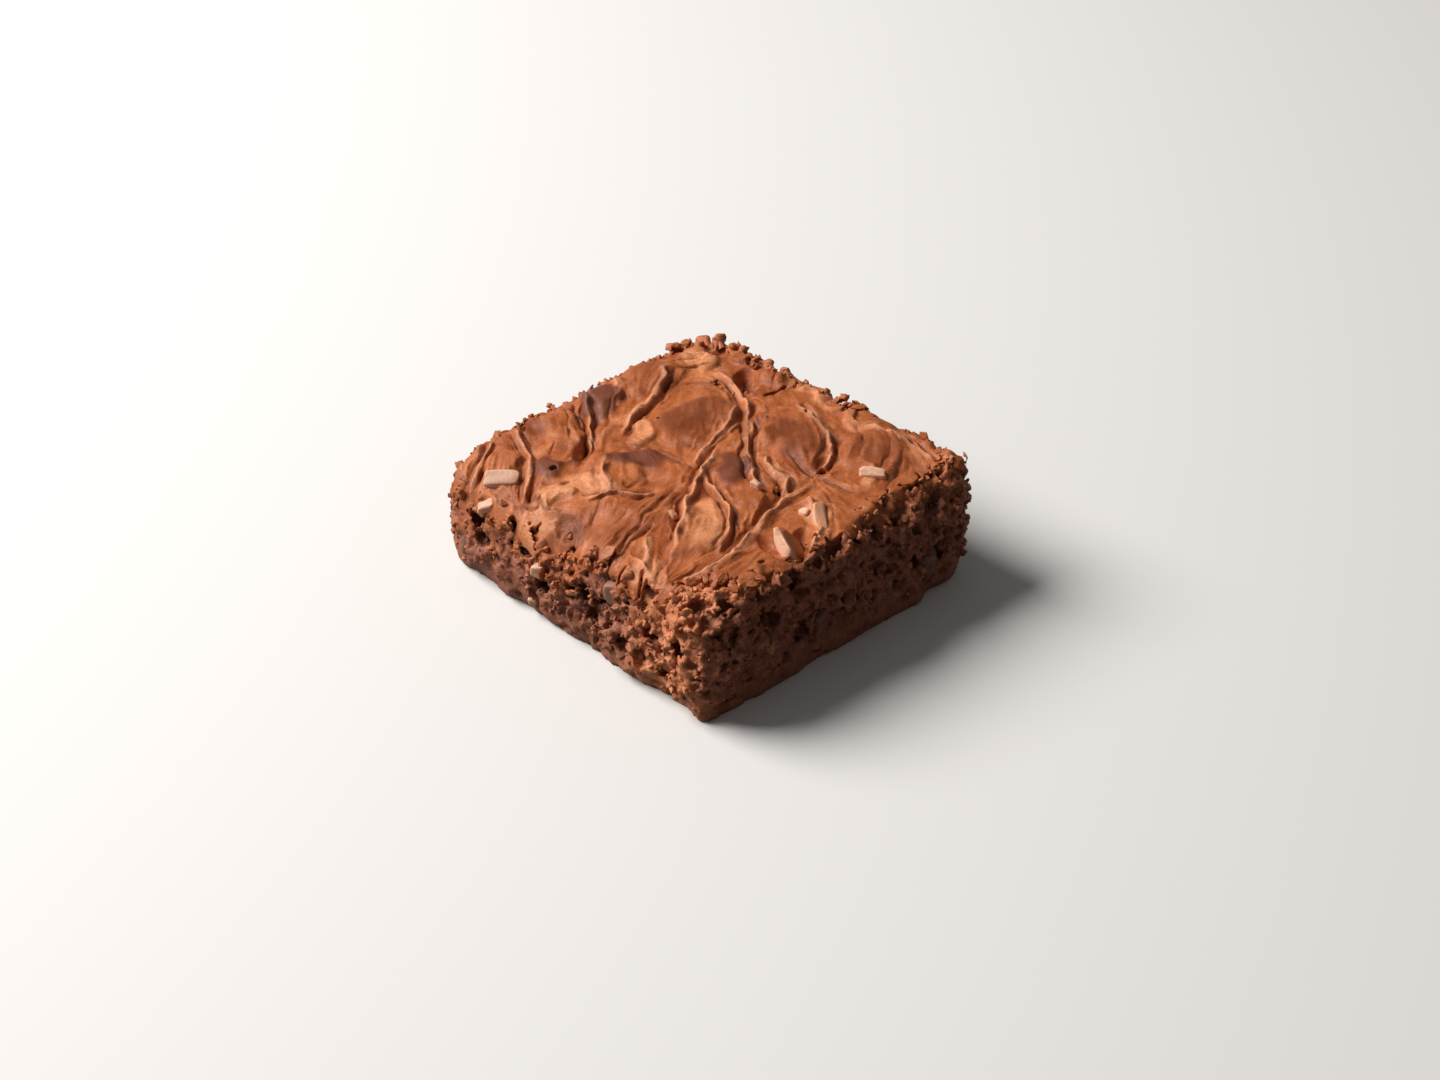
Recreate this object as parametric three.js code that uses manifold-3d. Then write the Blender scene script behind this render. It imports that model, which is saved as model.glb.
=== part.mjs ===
// A thick square brownie, cut from the tin: a crumbly block under a thin, wrinkled top crust.
// Millimetres, +Z up. The origin is the middle of the flat base. The left face looks along -Y, the right
// face along +X, and the corner between them is the front corner.
import * as THREE from "three";
import { mergeVertices } from "three/addons/utils/BufferGeometryUtils.js";
import Module from "manifold-3d";

// Driving dimensions of the block.
const LENGTH = 78.5; // along X
const WIDTH = 73.5; // along Y
const HEIGHTS = { left: 22.5, front: 25.5, right: 27, back: 22 }; // of the crust over each corner
const CROWN = 1.2; // extra height in the middle
const PLAN_RADII = { left: 6.5, front: 3, right: 6.5, back: 6 };

// The crust rolls down over the left face: deep over its far half, shallow near the front corner.
const SHOULDER = { deepDrop: 9, deepReach: 15, shallowDrop: 2.5, shallowReach: 5, from: -2, over: 12 };
const EDGE_DROP = 1.8; // the rounding of every top edge
const EDGE_REACH = 3.4;

// The walls: they swell a little at mid height, tuck in at the base, and are torn and pitted.
const WALL_SWELL = 0.9;
const BASE_TUCK = 0.5;
const BASE_TUCK_HEIGHT = 4;
const CRAG = { coarseSize: 6.5, coarseDepth: 0.9, fineSize: 3.2, fineDepth: 1.1, reach: 3.5 };
const PITS = { spacing: 5.2, share: 0.72, smallest: 1.3, largest: 2.6, denseBase: 6 };
const CRUMB_RELIEF = { size: 2.7, depth: 1.1 }; // where the crust has broken away

// How finely the surface is divided.
const CELLS_X = 48;
const CELLS_Y = 45;
const WALL_RINGS = 13;

// Creases of the crust, as smooth paths over the top. A ridge stands up, a groove sinks in, a fold has a lip
// on the left of its path and a groove on the right, and a pleat is a ridge between two grooves.
const CREASES = [
  { form: "ridge", width: 1.2, height: 1.5, path: [[-10, 18], [-6, 12], [-3, 3.5], [0, -3.5]] },
  { form: "fold", width: 1.4, height: 1.9, path: [[-1, 3], [3, -4.5], [8, -12.5], [13, -19.5], [20, -29]] },
  { form: "pleat", width: 1.2, height: 1.3, path: [[-9, 20], [-4, 15.5], [6, 5.5], [11, 2], [16, 0]] },
  { form: "pleat", width: 1.1, height: 1.1, path: [[4, -4], [10, -7.3], [16, -9.8], [22, -14], [26, -21]] },
  { form: "fold", width: 1.4, height: 1.4, path: [[20.5, 8], [22, -3], [27.5, -18], [28, -25], [26.5, -35]] },
  { form: "fold", width: 1.4, height: 1.7, path: [[-2, 28.5], [4, 25.7], [12, 22.8], [17, 18], [19.5, 13]] },
  { form: "fold", width: 1.2, height: 1.2, path: [[-24, 24.5], [-17, 23], [-12, 21], [-7, 17]] },
  { form: "fold", width: 1.4, height: 1.2, path: [[-18, -6], [-22, 2], [-24.5, 8], [-28, 15], [-32, 20]] },
  { form: "ridge", width: 1.2, height: 0.9, path: [[-38, 9.5], [-33, 6], [-27, 1]] },
  { form: "pleat", width: 1.2, height: 1.4, path: [[-38, 1], [-31, -3.5], [-24, -9.5], [-20, -13]] },
  { form: "groove", width: 1.5, height: 1.6, path: [[-38, -3], [-30, -7.5], [-22, -12.5], [-18, -19]] },
  { form: "groove", width: 1.1, height: 0.8, path: [[-17, -7], [-11, -5.5], [-5, -5], [0, -4]] },
  { form: "ridge", width: 1.1, height: 0.7, path: [[-14, -13], [-11, -17], [-6, -20], [-2, -26]] },
  { form: "groove", width: 1.1, height: 0.9, path: [[-9, -25], [-4.5, -21.5], [-1, -19], [0.5, -14]] },
  { form: "pleat", width: 1.2, height: 1.2, path: [[-37, -19], [-30, -21.5], [-25, -24.5], [-17, -33]] },
  { form: "pleat", width: 1.2, height: 1.1, path: [[-37, -25], [-34, -30], [-31, -35]] },
  { form: "ridge", width: 1.3, height: 1.2, path: [[12, -26], [16, -30], [20.5, -35]] },
  { form: "groove", width: 1.5, height: 1.4, path: [[3, -10], [5.5, -18], [8, -26], [12, -35]] },
  { form: "ridge", width: 1.5, height: 1.5, path: [[25, 3.5], [30, 1], [34.5, -2], [38, -8]] },
  { form: "pleat", width: 1.1, height: 1.1, path: [[8, 8.5], [12, 6], [17, 5.5], [21, 2]] },
  { form: "groove", width: 1.2, height: 0.9, path: [[10, 12.5], [16, 10.5], [24, 11], [31, 12]] },
  { form: "fold", width: 1.3, height: 1, path: [[33, 31], [24, 33], [13, 31]] },
];

const CREST = 0.7; // how far a fold's lip and groove lie from its path, in its own widths

// Puffs of the crust between the creases: centre, half sizes, turn in degrees, rise.
const PUFFS = [
  { at: [-13, 9], half: [7.5, 10.5], turn: 20, rise: 1.5 },
  { at: [-33, 14], half: [6, 8], turn: 10, rise: 1.7 },
  { at: [-33.5, 2], half: [5, 3.4], turn: -30, rise: 0.9 },
  { at: [-30, -12], half: [7.5, 4.5], turn: -25, rise: 1.6 },
  { at: [-29, -28.5], half: [5, 3], turn: -20, rise: 1.3 },
  { at: [-14, -28.5], half: [3.6, 3.4], turn: 0, rise: 1.3 },
  { at: [-16, -2.5], half: [4.6, 2.7], turn: -35, rise: 1 },
  { at: [-9, -16.5], half: [8, 4.6], turn: -35, rise: 1.2 },
  { at: [18.5, -18.5], half: [5.5, 8], turn: 25, rise: 1.8 },
  { at: [5.5, 18], half: [9.5, 6.5], turn: -25, rise: 2.1 },
  { at: [15, -4], half: [6.5, 3.6], turn: -35, rise: 1.1 },
  { at: [22, 25], half: [9, 6], turn: -35, rise: 1.2 },
  { at: [33, -22], half: [4, 8], turn: 5, rise: 1.1 },
  { at: [28, 18.3], half: [2.9, 2], turn: -20, rise: 1.2 },
];

// Hollows, in the crust and where it has broken away: centre, half sizes, turn in degrees, depth.
const HOLLOWS = [
  { at: [34.3, -7.3], half: [4.8, 1.8], turn: -51, depth: 2 },
  { at: [18.5, 16], half: [1.8, 3], turn: 25, depth: 1.4 },
  { at: [-18.5, 28.5], half: [4.6, 2.3], turn: -40, depth: 1.8 },
  { at: [-32, 32.5], half: [3.2, 2], turn: -35, depth: 1.5 },
  { at: [-20, -14.5], half: [1.8, 3.6], turn: 25, depth: 1.1 },
  { at: [-4.5, -32], half: [3, 2], turn: -15, depth: 1.4 },
];

// Chocolate chips that the crust or a cut face lays bare: place, full size, turn in degrees. Those of the
// top are placed over it, and those of a wall by their height.
const TOP_CHIPS = [
  { at: [32.5, -10], size: [9, 4.2, 3.4], turn: -36 },
  { at: [-9, -9.7], size: [11.5, 5.5, 2.4], turn: 33 },
  { at: [-23.5, -22.3], size: [7.5, 6.5, 2.8], turn: -20 },
  { at: [-33.5, 1.5], size: [11, 7, 3], turn: -30 },
  { at: [7.5, 0.3], size: [11, 5.6, 2], turn: -38 },
  { at: [-27, -31], size: [9.5, 3.6, 2.6], turn: 18 },
];
const LEFT_CHIPS = [
  { along: 12.5, up: 15.6, size: [7, 3.4, 6.6] },
  { along: -10.7, up: 9.2, size: [3, 2, 3] },
  { along: -29.5, up: 6.4, size: [5, 2.6, 4.2] },
];
const RIGHT_CHIPS = [
  { along: -6, up: 9.5, size: [2.8, 6, 5.2] },
  { along: 24, up: 8.2, size: [2.6, 5, 5.4] },
];
const CHIP_BURIED = 0.28; // share of a chip's thickness that its centre lies under the surface

// Crumbs stuck along the broken edges of the crust.
const CRUMBS = { count: 26, smallest: 2.2, largest: 3.8, seed: 5 };

// Repeatable noise, from -1 to 1, on a lattice of whole numbers.
function lattice(ix, iy, iz, seed) {
  let h = Math.imul(ix, 374761393) + Math.imul(iy, 668265263);
  h += Math.imul(iz, 1274126177) + Math.imul(seed, 982451653);
  h = Math.imul(h ^ (h >>> 13), 1103515245);
  h = Math.imul(h ^ (h >>> 15), 2246822519);
  return ((h ^ (h >>> 16)) >>> 0) / 2147483648 - 1;
}

const ease = (t) => t * t * t * (t * (t * 6 - 15) + 10);
const mix = (a, b, t) => a + (b - a) * t;

function noise(x, y, z, seed) {
  const [ix, iy, iz] = [Math.floor(x), Math.floor(y), Math.floor(z)];
  const [u, v, w] = [ease(x - ix), ease(y - iy), ease(z - iz)];
  const at = (dx, dy, dz) => lattice(ix + dx, iy + dy, iz + dz, seed);
  const row = (dy, dz) => mix(at(0, dy, dz), at(1, dy, dz), u);
  return mix(mix(row(0, 0), row(1, 0), v), mix(row(0, 1), row(1, 1), v), w);
}

const clamp01 = (t) => Math.min(1, Math.max(0, t));
const smooth = (t) => clamp01(t) ** 2 * (3 - 2 * clamp01(t));
const bell = (t) => Math.exp(-t * t);

function planRadius(x, y) {
  if (x < 0) return y < 0 ? PLAN_RADII.left : PLAN_RADII.back;
  return y < 0 ? PLAN_RADII.front : PLAN_RADII.right;
}

// Distance inwards from the outline of the block, seen from above.
function inset(x, y) {
  const r = planRadius(x, y);
  const qx = Math.abs(x) - LENGTH / 2 + r;
  const qy = Math.abs(y) - WIDTH / 2 + r;
  return r - Math.min(Math.max(qx, qy), 0) - Math.hypot(Math.max(qx, 0), Math.max(qy, 0));
}

// Moves a point of the plain rectangle so that its corners follow the rounded outline.
function roundCorner(x, y) {
  const r = planRadius(x, y);
  const dx = Math.abs(x) - LENGTH / 2 + r;
  const dy = Math.abs(y) - WIDTH / 2 + r;
  if (dx <= 0 || dy <= 0) return [x, y];
  const pull = Math.max(dx, dy) / Math.hypot(dx, dy);
  return [Math.sign(x) * (LENGTH / 2 - r + dx * pull), Math.sign(y) * (WIDTH / 2 - r + dy * pull)];
}

// Each path as a dense line, so that the nearest point on it is a plain search.
const creaseLines = CREASES.map((crease) => {
  const spline = new THREE.SplineCurve(crease.path.map(([x, y]) => new THREE.Vector2(x, y)));
  return { ...crease, points: spline.getPoints(28) };
});

// The nearest point of a crease: signed distance (positive on the left of its path), share of the way along
// it, and the direction that leads straight away from it.
function nearestOn({ points }, x, y) {
  let best = { distance: Infinity };
  for (let i = 0; i < points.length - 1; i++) {
    const [ax, ay] = [points[i].x, points[i].y];
    const [dx, dy] = [points[i + 1].x - ax, points[i + 1].y - ay];
    const t = clamp01(((x - ax) * dx + (y - ay) * dy) / (dx * dx + dy * dy));
    const distance = Math.hypot(x - ax - dx * t, y - ay - dy * t);
    if (distance >= best.distance) continue;
    const side = dx * (y - ay) - dy * (x - ax) < 0 ? -1 : 1;
    const length = Math.hypot(dx, dy);
    best = { distance, side, along: (i + t) / (points.length - 1), normal: [-dy / length, dx / length] };
  }
  return { ...best, distance: best.distance * best.side };
}

// Height that one crease adds at a place.
function creaseHeight(line, x, y) {
  const { form, width, height } = line;
  const { distance, along } = nearestOn(line, x, y);
  if (Math.abs(distance) > width * 4) return 0;
  const taper = 1 - (2 * along - 1) ** 6;
  const s = distance / width;
  const shape = {
    ridge: bell(s),
    groove: -bell(s),
    fold: bell(s - CREST) - 0.9 * bell(s + CREST),
    pleat: bell(s * 1.2) - 0.7 * bell((Math.abs(s) - 1.6) * 1.3),
  }[form];
  return height * taper * shape;
}

// Moves a place of the top onto the crest or the bottom of a crease that runs close by, so that the faces
// follow the creases.
function alignToCreases(x, y) {
  const within = (0.45 * LENGTH) / CELLS_X;
  for (const line of creaseLines) {
    const { distance, along, normal } = nearestOn(line, x, y);
    const crests = line.form === "fold" ? [CREST * line.width, -CREST * line.width] : [0];
    const shift = crests.map((crest) => crest - distance).find((gap) => Math.abs(gap) < within);
    if (shift === undefined || along < 0.02 || along > 0.98) continue;
    return [x + normal[0] * shift, y + normal[1] * shift];
  }
  return [x, y];
}

// From 1 at the middle of an ellipse down to 0 at its edge and beyond.
function ellipseShare({ at, half, turn }, x, y) {
  const angle = THREE.MathUtils.degToRad(turn);
  const [dx, dy] = [x - at[0], y - at[1]];
  const u = (dx * Math.cos(angle) + dy * Math.sin(angle)) / half[0];
  const v = (dy * Math.cos(angle) - dx * Math.sin(angle)) / half[1];
  return smooth(1.25 * (1 - (u * u + v * v) / 1.6));
}

// From 0 to 1: how far the crust has crumbled away, at the back and front corners and along the edges.
function crumbled(x, y) {
  const back = 1 - smooth((Math.hypot(x + LENGTH / 2, y - WIDTH / 2) - 9) / 6);
  const front = 1 - smooth((Math.hypot(x - LENGTH / 2, y + WIDTH / 2) - 8) / 5);
  const backEdge = (1 - smooth((WIDTH / 2 - y - 4) / 3)) * smooth((14 - x) / 8);
  const rim = 1 - smooth((inset(x, y) - 1.2) / 2);
  return clamp01(Math.max(back, front, backEdge, 0.8 * rim));
}

// The smooth height of the top, before any crease.
function restHeight(x, y) {
  const u = clamp01(x / LENGTH + 0.5);
  const v = clamp01(y / WIDTH + 0.5);
  const plane = mix(mix(HEIGHTS.left, HEIGHTS.front, u), mix(HEIGHTS.back, HEIGHTS.right, u), v);
  const crown = CROWN * Math.sin(Math.PI * u) * Math.sin(Math.PI * v);
  const k = smooth((x - SHOULDER.from) / SHOULDER.over);
  const drop = mix(SHOULDER.deepDrop, SHOULDER.shallowDrop, k);
  const reach = mix(SHOULDER.deepReach, SHOULDER.shallowReach, k);
  const over = 1 - clamp01((y + WIDTH / 2) / reach);
  const rim = 1 - clamp01(inset(x, y) / EDGE_REACH);
  return plane + crown - drop * (1 - Math.sqrt(1 - over ** 2)) - EDGE_DROP * (1 - Math.sqrt(1 - rim ** 2));
}

function topHeight(x, y) {
  const bare = crumbled(x, y);
  let crust = 0.45 * noise(x / 7, y / 7, 0, 1) + 0.25 * noise(x / 3.2, y / 3.2, 0, 2);
  for (const crease of creaseLines) crust += creaseHeight(crease, x, y);
  for (const puff of PUFFS) crust += puff.rise * ellipseShare(puff, x, y);
  const crumb = CRUMB_RELIEF.depth * noise(x / CRUMB_RELIEF.size, y / CRUMB_RELIEF.size, 0, 3);
  let height = restHeight(x, y) + crust * (1 - 0.75 * bare) + crumb * bare;
  for (const hollow of HOLLOWS) height -= hollow.depth * ellipseShare(hollow, x, y);
  return height;
}

// How deep the nearest air bubble cuts in at a place on a wall.
function pitDepth(x, y, z) {
  const cell = [x, y, z].map((c) => Math.floor(c / PITS.spacing));
  let depth = 0;
  for (let n = 0; n < 27; n++) {
    const [i, j, k] = [(n % 3) - 1, (Math.floor(n / 3) % 3) - 1, Math.floor(n / 9) - 1];
    const [cx, cy, cz] = [cell[0] + i, cell[1] + j, cell[2] + k];
    if (lattice(cx, cy, cz, 11) > 2 * PITS.share - 1) continue;
    const place = (c, seed) => (c + 0.5 + 0.35 * lattice(cx, cy, cz, seed)) * PITS.spacing;
    const shallow = smooth(place(cz, 14) / PITS.denseBase);
    const r = mix(PITS.smallest, PITS.largest, (lattice(cx, cy, cz, 15) + 1) / 2) * shallow;
    const gap = Math.hypot(x - place(cx, 12), y - place(cy, 13), z - place(cz, 14));
    if (gap < r) depth = Math.max(depth, Math.sqrt(r * r - gap * gap));
  }
  return depth;
}

// How far a wall stands out from the outline at a height, given the height of the top above it.
function wallOffset(x, y, z, top) {
  const swell = WALL_SWELL * Math.sin(Math.PI * clamp01(z / top));
  const tuck = BASE_TUCK * (1 - clamp01(z / BASE_TUCK_HEIGHT)) ** 2;
  const cragged = (size, seed) => noise(x / size, y / size, z / size, seed);
  const coarse = CRAG.coarseDepth * cragged(CRAG.coarseSize, 21);
  const fine = CRAG.fineDepth * cragged(CRAG.fineSize, 22) * smooth(z / 5 + 0.25);
  return swell - tuck + coarse + fine - 0.9 * pitDepth(x, y, z);
}

// Unit direction out of the block, seen from above.
function outward(x, y) {
  const step = 0.05;
  const gx = inset(x - step, y) - inset(x + step, y);
  const gy = inset(x, y - step) - inset(x, y + step);
  const length = Math.hypot(gx, gy) || 1;
  return [gx / length, gy / length];
}

// The block as one closed surface: a grid for the top, rings for the walls and a flat base.
function blockGeometry() {
  const positions = [];
  const triangles = [];
  const addVertex = (x, y, z) => positions.push(x, y, z) / 3 - 1;
  const corner = (n) => new THREE.Vector3(...positions.slice(3 * n, 3 * n + 3));
  // A quad is split along its shorter diagonal, which keeps ridges unbroken.
  const addQuad = (a, b, c, d) => {
    if (corner(a).distanceTo(corner(c)) < corner(b).distanceTo(corner(d))) triangles.push(a, b, c, a, c, d);
    else triangles.push(a, b, d, b, c, d);
  };

  const grid = [];
  for (let j = 0; j <= CELLS_Y; j++) {
    for (let i = 0; i <= CELLS_X; i++) {
      const plain = roundCorner((i / CELLS_X - 0.5) * LENGTH, (j / CELLS_Y - 0.5) * WIDTH);
      const [x, y] = inset(...plain) > CRAG.reach ? alignToCreases(...plain) : plain;
      const z = topHeight(x, y);
      const near = 1 - smooth(inset(x, y) / CRAG.reach);
      const [nx, ny] = outward(x, y);
      const shift = near * wallOffset(x, y, z, z);
      grid.push(addVertex(x + nx * shift, y + ny * shift, z));
    }
  }
  const at = (i, j) => grid[j * (CELLS_X + 1) + i];
  for (let j = 0; j < CELLS_Y; j++)
    for (let i = 0; i < CELLS_X; i++) addQuad(at(i, j), at(i + 1, j), at(i + 1, j + 1), at(i, j + 1));

  // The rim of the top, counter-clockwise from above.
  const rim = [];
  for (let i = 0; i < CELLS_X; i++) rim.push([i, 0]);
  for (let j = 0; j < CELLS_Y; j++) rim.push([CELLS_X, j]);
  for (let i = CELLS_X; i > 0; i--) rim.push([i, CELLS_Y]);
  for (let j = CELLS_Y; j > 0; j--) rim.push([0, j]);

  let upper = rim.map(([i, j]) => at(i, j));
  for (let ring = 1; ring <= WALL_RINGS; ring++) {
    const lower = rim.map(([i, j]) => {
      const [x, y] = roundCorner((i / CELLS_X - 0.5) * LENGTH, (j / CELLS_Y - 0.5) * WIDTH);
      const top = topHeight(x, y);
      const z = top * (1 - ring / WALL_RINGS);
      const [nx, ny] = outward(x, y);
      const offset = wallOffset(x, y, z, top);
      return addVertex(x + nx * offset, y + ny * offset, z);
    });
    for (let n = 0; n < rim.length; n++) {
      const next = (n + 1) % rim.length;
      addQuad(upper[n], lower[n], lower[next], upper[next]);
    }
    upper = lower;
  }
  const middle = addVertex(0, 0, 0);
  for (let n = 0; n < rim.length; n++) triangles.push(middle, upper[(n + 1) % rim.length], upper[n]);

  const geometry = new THREE.BufferGeometry();
  geometry.setAttribute("position", new THREE.Float32BufferAttribute(positions, 3));
  geometry.setIndex(triangles);
  return geometry;
}

// A rounded lump of full size [x, y, z], turned about +Z and moved into place.
function lumpGeometry(size, turn, [x, y, z], detail) {
  const lump = new THREE.IcosahedronGeometry(0.5, detail);
  lump.scale(...size);
  lump.rotateZ(THREE.MathUtils.degToRad(turn));
  lump.translate(x, y, z);
  return lump;
}

function chipGeometries() {
  const chips = TOP_CHIPS.map(({ at: [x, y], size, turn }) =>
    lumpGeometry(size, turn, [x, y, topHeight(x, y) - CHIP_BURIED * size[2]], 1),
  );
  for (const { along, up, size } of LEFT_CHIPS) {
    const wall = -WIDTH / 2 - wallOffset(along, -WIDTH / 2, up, topHeight(along, -WIDTH / 2));
    chips.push(lumpGeometry(size, 0, [along, wall + CHIP_BURIED * size[1], up], 1));
  }
  for (const { along, up, size } of RIGHT_CHIPS) {
    const wall = LENGTH / 2 + wallOffset(LENGTH / 2, along, up, topHeight(LENGTH / 2, along));
    chips.push(lumpGeometry(size, 0, [wall - CHIP_BURIED * size[0], along, up], 1));
  }
  return chips;
}

// Crumbs along the rim, close enough to sink into the block.
function crumbGeometries() {
  return Array.from({ length: CRUMBS.count }, (_, n) => {
    const draw = (k) => (lattice(n, k, 0, CRUMBS.seed) + 1) / 2;
    const angle = (2 * Math.PI * (n + 0.7 * draw(1))) / CRUMBS.count;
    const [east, north] = [Math.cos(angle), Math.sin(angle)];
    const reach = 1 / Math.max((2 * Math.abs(east)) / LENGTH, (2 * Math.abs(north)) / WIDTH);
    const [x, y] = roundCorner(east * reach, north * reach);
    const [nx, ny] = outward(x, y);
    const inwards = 0.4 + 1.6 * draw(2);
    const size = mix(CRUMBS.smallest, CRUMBS.largest, draw(3));
    const [cx, cy] = [x - nx * inwards, y - ny * inwards];
    const z = topHeight(cx, cy) - 0.3 * size;
    return lumpGeometry([size * 1.3, size, size * 0.85], 180 * draw(4), [cx, cy, z], 0);
  });
}

const wasm = await Module();
wasm.setup();

function toSolid(geometry) {
  const plain = geometry.index ? geometry.toNonIndexed() : geometry.clone();
  plain.deleteAttribute("normal");
  plain.deleteAttribute("uv");
  const merged = mergeVertices(plain, 1e-3);
  return new wasm.Manifold(
    new wasm.Mesh({
      numProp: 3,
      vertProperties: merged.attributes.position.array,
      triVerts: new Uint32Array(merged.index.array),
    }),
  );
}

function toGeometry(solid) {
  const mesh = solid.getMesh();
  const geometry = new THREE.BufferGeometry();
  geometry.setAttribute("position", new THREE.BufferAttribute(mesh.vertProperties, 3));
  geometry.setIndex(new THREE.BufferAttribute(mesh.triVerts, 1));
  geometry.computeVertexNormals();
  return geometry;
}

function brownieGeometry() {
  let solid = toSolid(blockGeometry());
  for (const piece of [...chipGeometries(), ...crumbGeometries()]) solid = solid.add(toSolid(piece));
  const [whole] = solid.decompose().sort((a, b) => b.volume() - a.volume());
  return toGeometry(whole);
}

const brownie = new THREE.Mesh(
  brownieGeometry(),
  new THREE.MeshStandardMaterial({ color: 0x9a5a38, roughness: 0.55, metalness: 0 }),
);
brownie.name = "brownie";

const part = new THREE.Group();
part.add(brownie);

export default part;
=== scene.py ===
# The looks of a thick square chocolate brownie: a torn, bubbly crumb under a thin, wrinkled, satin crust.
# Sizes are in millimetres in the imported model's frame, and become metres where a mesh is made.
import math

import bmesh
import bpy
import numpy as np
import openvdb
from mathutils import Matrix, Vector


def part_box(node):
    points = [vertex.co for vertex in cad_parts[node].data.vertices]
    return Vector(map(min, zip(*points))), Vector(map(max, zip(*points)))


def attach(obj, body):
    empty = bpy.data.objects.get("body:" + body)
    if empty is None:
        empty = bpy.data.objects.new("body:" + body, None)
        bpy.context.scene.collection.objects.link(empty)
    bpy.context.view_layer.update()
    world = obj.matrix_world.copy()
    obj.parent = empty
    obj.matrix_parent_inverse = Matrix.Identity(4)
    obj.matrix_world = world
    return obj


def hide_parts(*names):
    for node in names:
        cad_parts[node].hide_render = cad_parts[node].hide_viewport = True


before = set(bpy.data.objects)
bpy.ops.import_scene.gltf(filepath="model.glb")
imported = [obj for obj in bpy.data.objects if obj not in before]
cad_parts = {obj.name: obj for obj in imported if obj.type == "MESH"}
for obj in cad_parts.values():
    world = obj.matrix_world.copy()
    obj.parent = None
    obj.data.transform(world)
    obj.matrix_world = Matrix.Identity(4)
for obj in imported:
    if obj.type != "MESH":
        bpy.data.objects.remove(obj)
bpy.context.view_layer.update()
MM = 0.001

# The block, with the same driving dimensions as the solid.
LENGTH = 78.5
WIDTH = 73.5
HEIGHTS = {"left": 22.5, "front": 25.5, "right": 27.0, "back": 22.0}
CROWN = 1.2
PLAN_RADII = {"left": 6.5, "front": 3.0, "right": 6.5, "back": 6.0}
SHOULDER = {
    "deep_drop": 9.0, "deep_reach": 15.0, "shallow_drop": 2.5, "shallow_reach": 5.0,
    "from": -2.0, "over": 12.0,
}
EDGE_DROP = 1.8
EDGE_REACH = 3.4
WALL_SWELL = 0.9
BASE_TUCK = 0.5
BASE_TUCK_HEIGHT = 4.0
CRAG = {"size": 6.5, "depth": 0.9, "seed": 21}
FINE_CRAG = {"size": 3.2, "depth": 1.1, "seed": 22, "fade_height": 5, "base_share": 0.25}
PITS = {
    "spacing": 5.2, "layers": (-1, 7), "share": 0.72, "jitter": 0.35,
    "smallest": 1.3, "largest": 2.6, "dense_base": 6.0, "seed": 11,
}
SMALLEST_PIT = 0.5
CRUMB_RELIEF = [{"size": 2.7, "amount": 1.1, "seed": 3}]
RIM_CRUMBS = {
    "count": 26, "spread": 0.7, "least_pull": 0.4, "more_pull": 1.6, "smallest": 2.2,
    "largest": 3.8, "sunk": 0.3, "shape": (0.65, 0.5, 0.42), "seed": 5,
}

# Creases of the crust: form, width, height and path over the top, close to the solid's.
CREASES = [
    ("ridge", 1.2, 1.5, [(-10, 18), (-6, 12), (-3, 3.5), (0, -3.5)]),
    ("fold", 1.4, 1.9, [(-1, 3), (3, -4.5), (8, -12.5), (13, -19.5), (20, -29)]),
    ("pleat", 1.2, 1.3, [(-9, 20), (-4, 15.5), (6, 5.5), (11, 2), (16, 0)]),
    ("pleat", 1.1, 1.1, [(4, -4), (10, -7.3), (16, -9.8), (22, -14), (26, -21)]),
    ("fold", 1.4, 1.4, [(20.5, 8), (22, -3), (27.5, -18), (28, -25), (26.5, -35)]),
    ("fold", 1.3, 1.4, [(19.5, 12.6), (17.6, 18), (12, 22.8), (4, 25.7), (-2, 28)]),
    ("fold", 1.1, 0.9, [(-24, 24.5), (-17, 23), (-12, 21), (-7, 17)]),
    ("fold", 1.4, 1.2, [(-18, -6), (-22, 2), (-24.5, 8), (-28, 15), (-32, 20)]),
    ("ridge", 1.2, 0.9, [(-38, 9.5), (-33, 6), (-27, 1)]),
    ("pleat", 1.2, 1.4, [(-38, 1), (-31, -3.5), (-24, -9.5), (-20, -13)]),
    ("groove", 1.5, 1.6, [(-38, -3), (-30, -7.5), (-22, -12.5), (-18, -19)]),
    ("groove", 1.1, 0.8, [(-17, -7), (-11, -5.5), (-5, -5), (0, -4)]),
    ("ridge", 1.1, 0.7, [(-14, -13), (-11, -17), (-6, -20), (-2, -26)]),
    ("groove", 1.1, 0.9, [(-9, -25), (-4.5, -21.5), (-1, -19), (0.5, -14)]),
    ("pleat", 1.2, 1.2, [(-37, -19), (-30, -21.5), (-25, -24.5), (-17, -33)]),
    ("pleat", 1.2, 1.1, [(-37, -25), (-34, -30), (-31, -35)]),
    ("ridge", 1.3, 1.2, [(12, -26), (16, -30), (20.5, -35)]),
    ("groove", 0.9, 0.6, [(3, -10), (5.5, -18), (8, -26), (12, -35)]),
    ("ridge", 1.5, 1.5, [(25, 3.5), (30, 1), (34.5, -2), (38, -8)]),
    ("pleat", 1.1, 1.1, [(8, 8.5), (12, 6), (17, 5.5), (21, 2)]),
    ("groove", 1.2, 0.9, [(10, 12.5), (16, 10.5), (24, 11), (31, 12)]),
    ("fold", 1.3, 1.0, [(33, 31), (24, 33), (13, 31)]),
]
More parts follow.
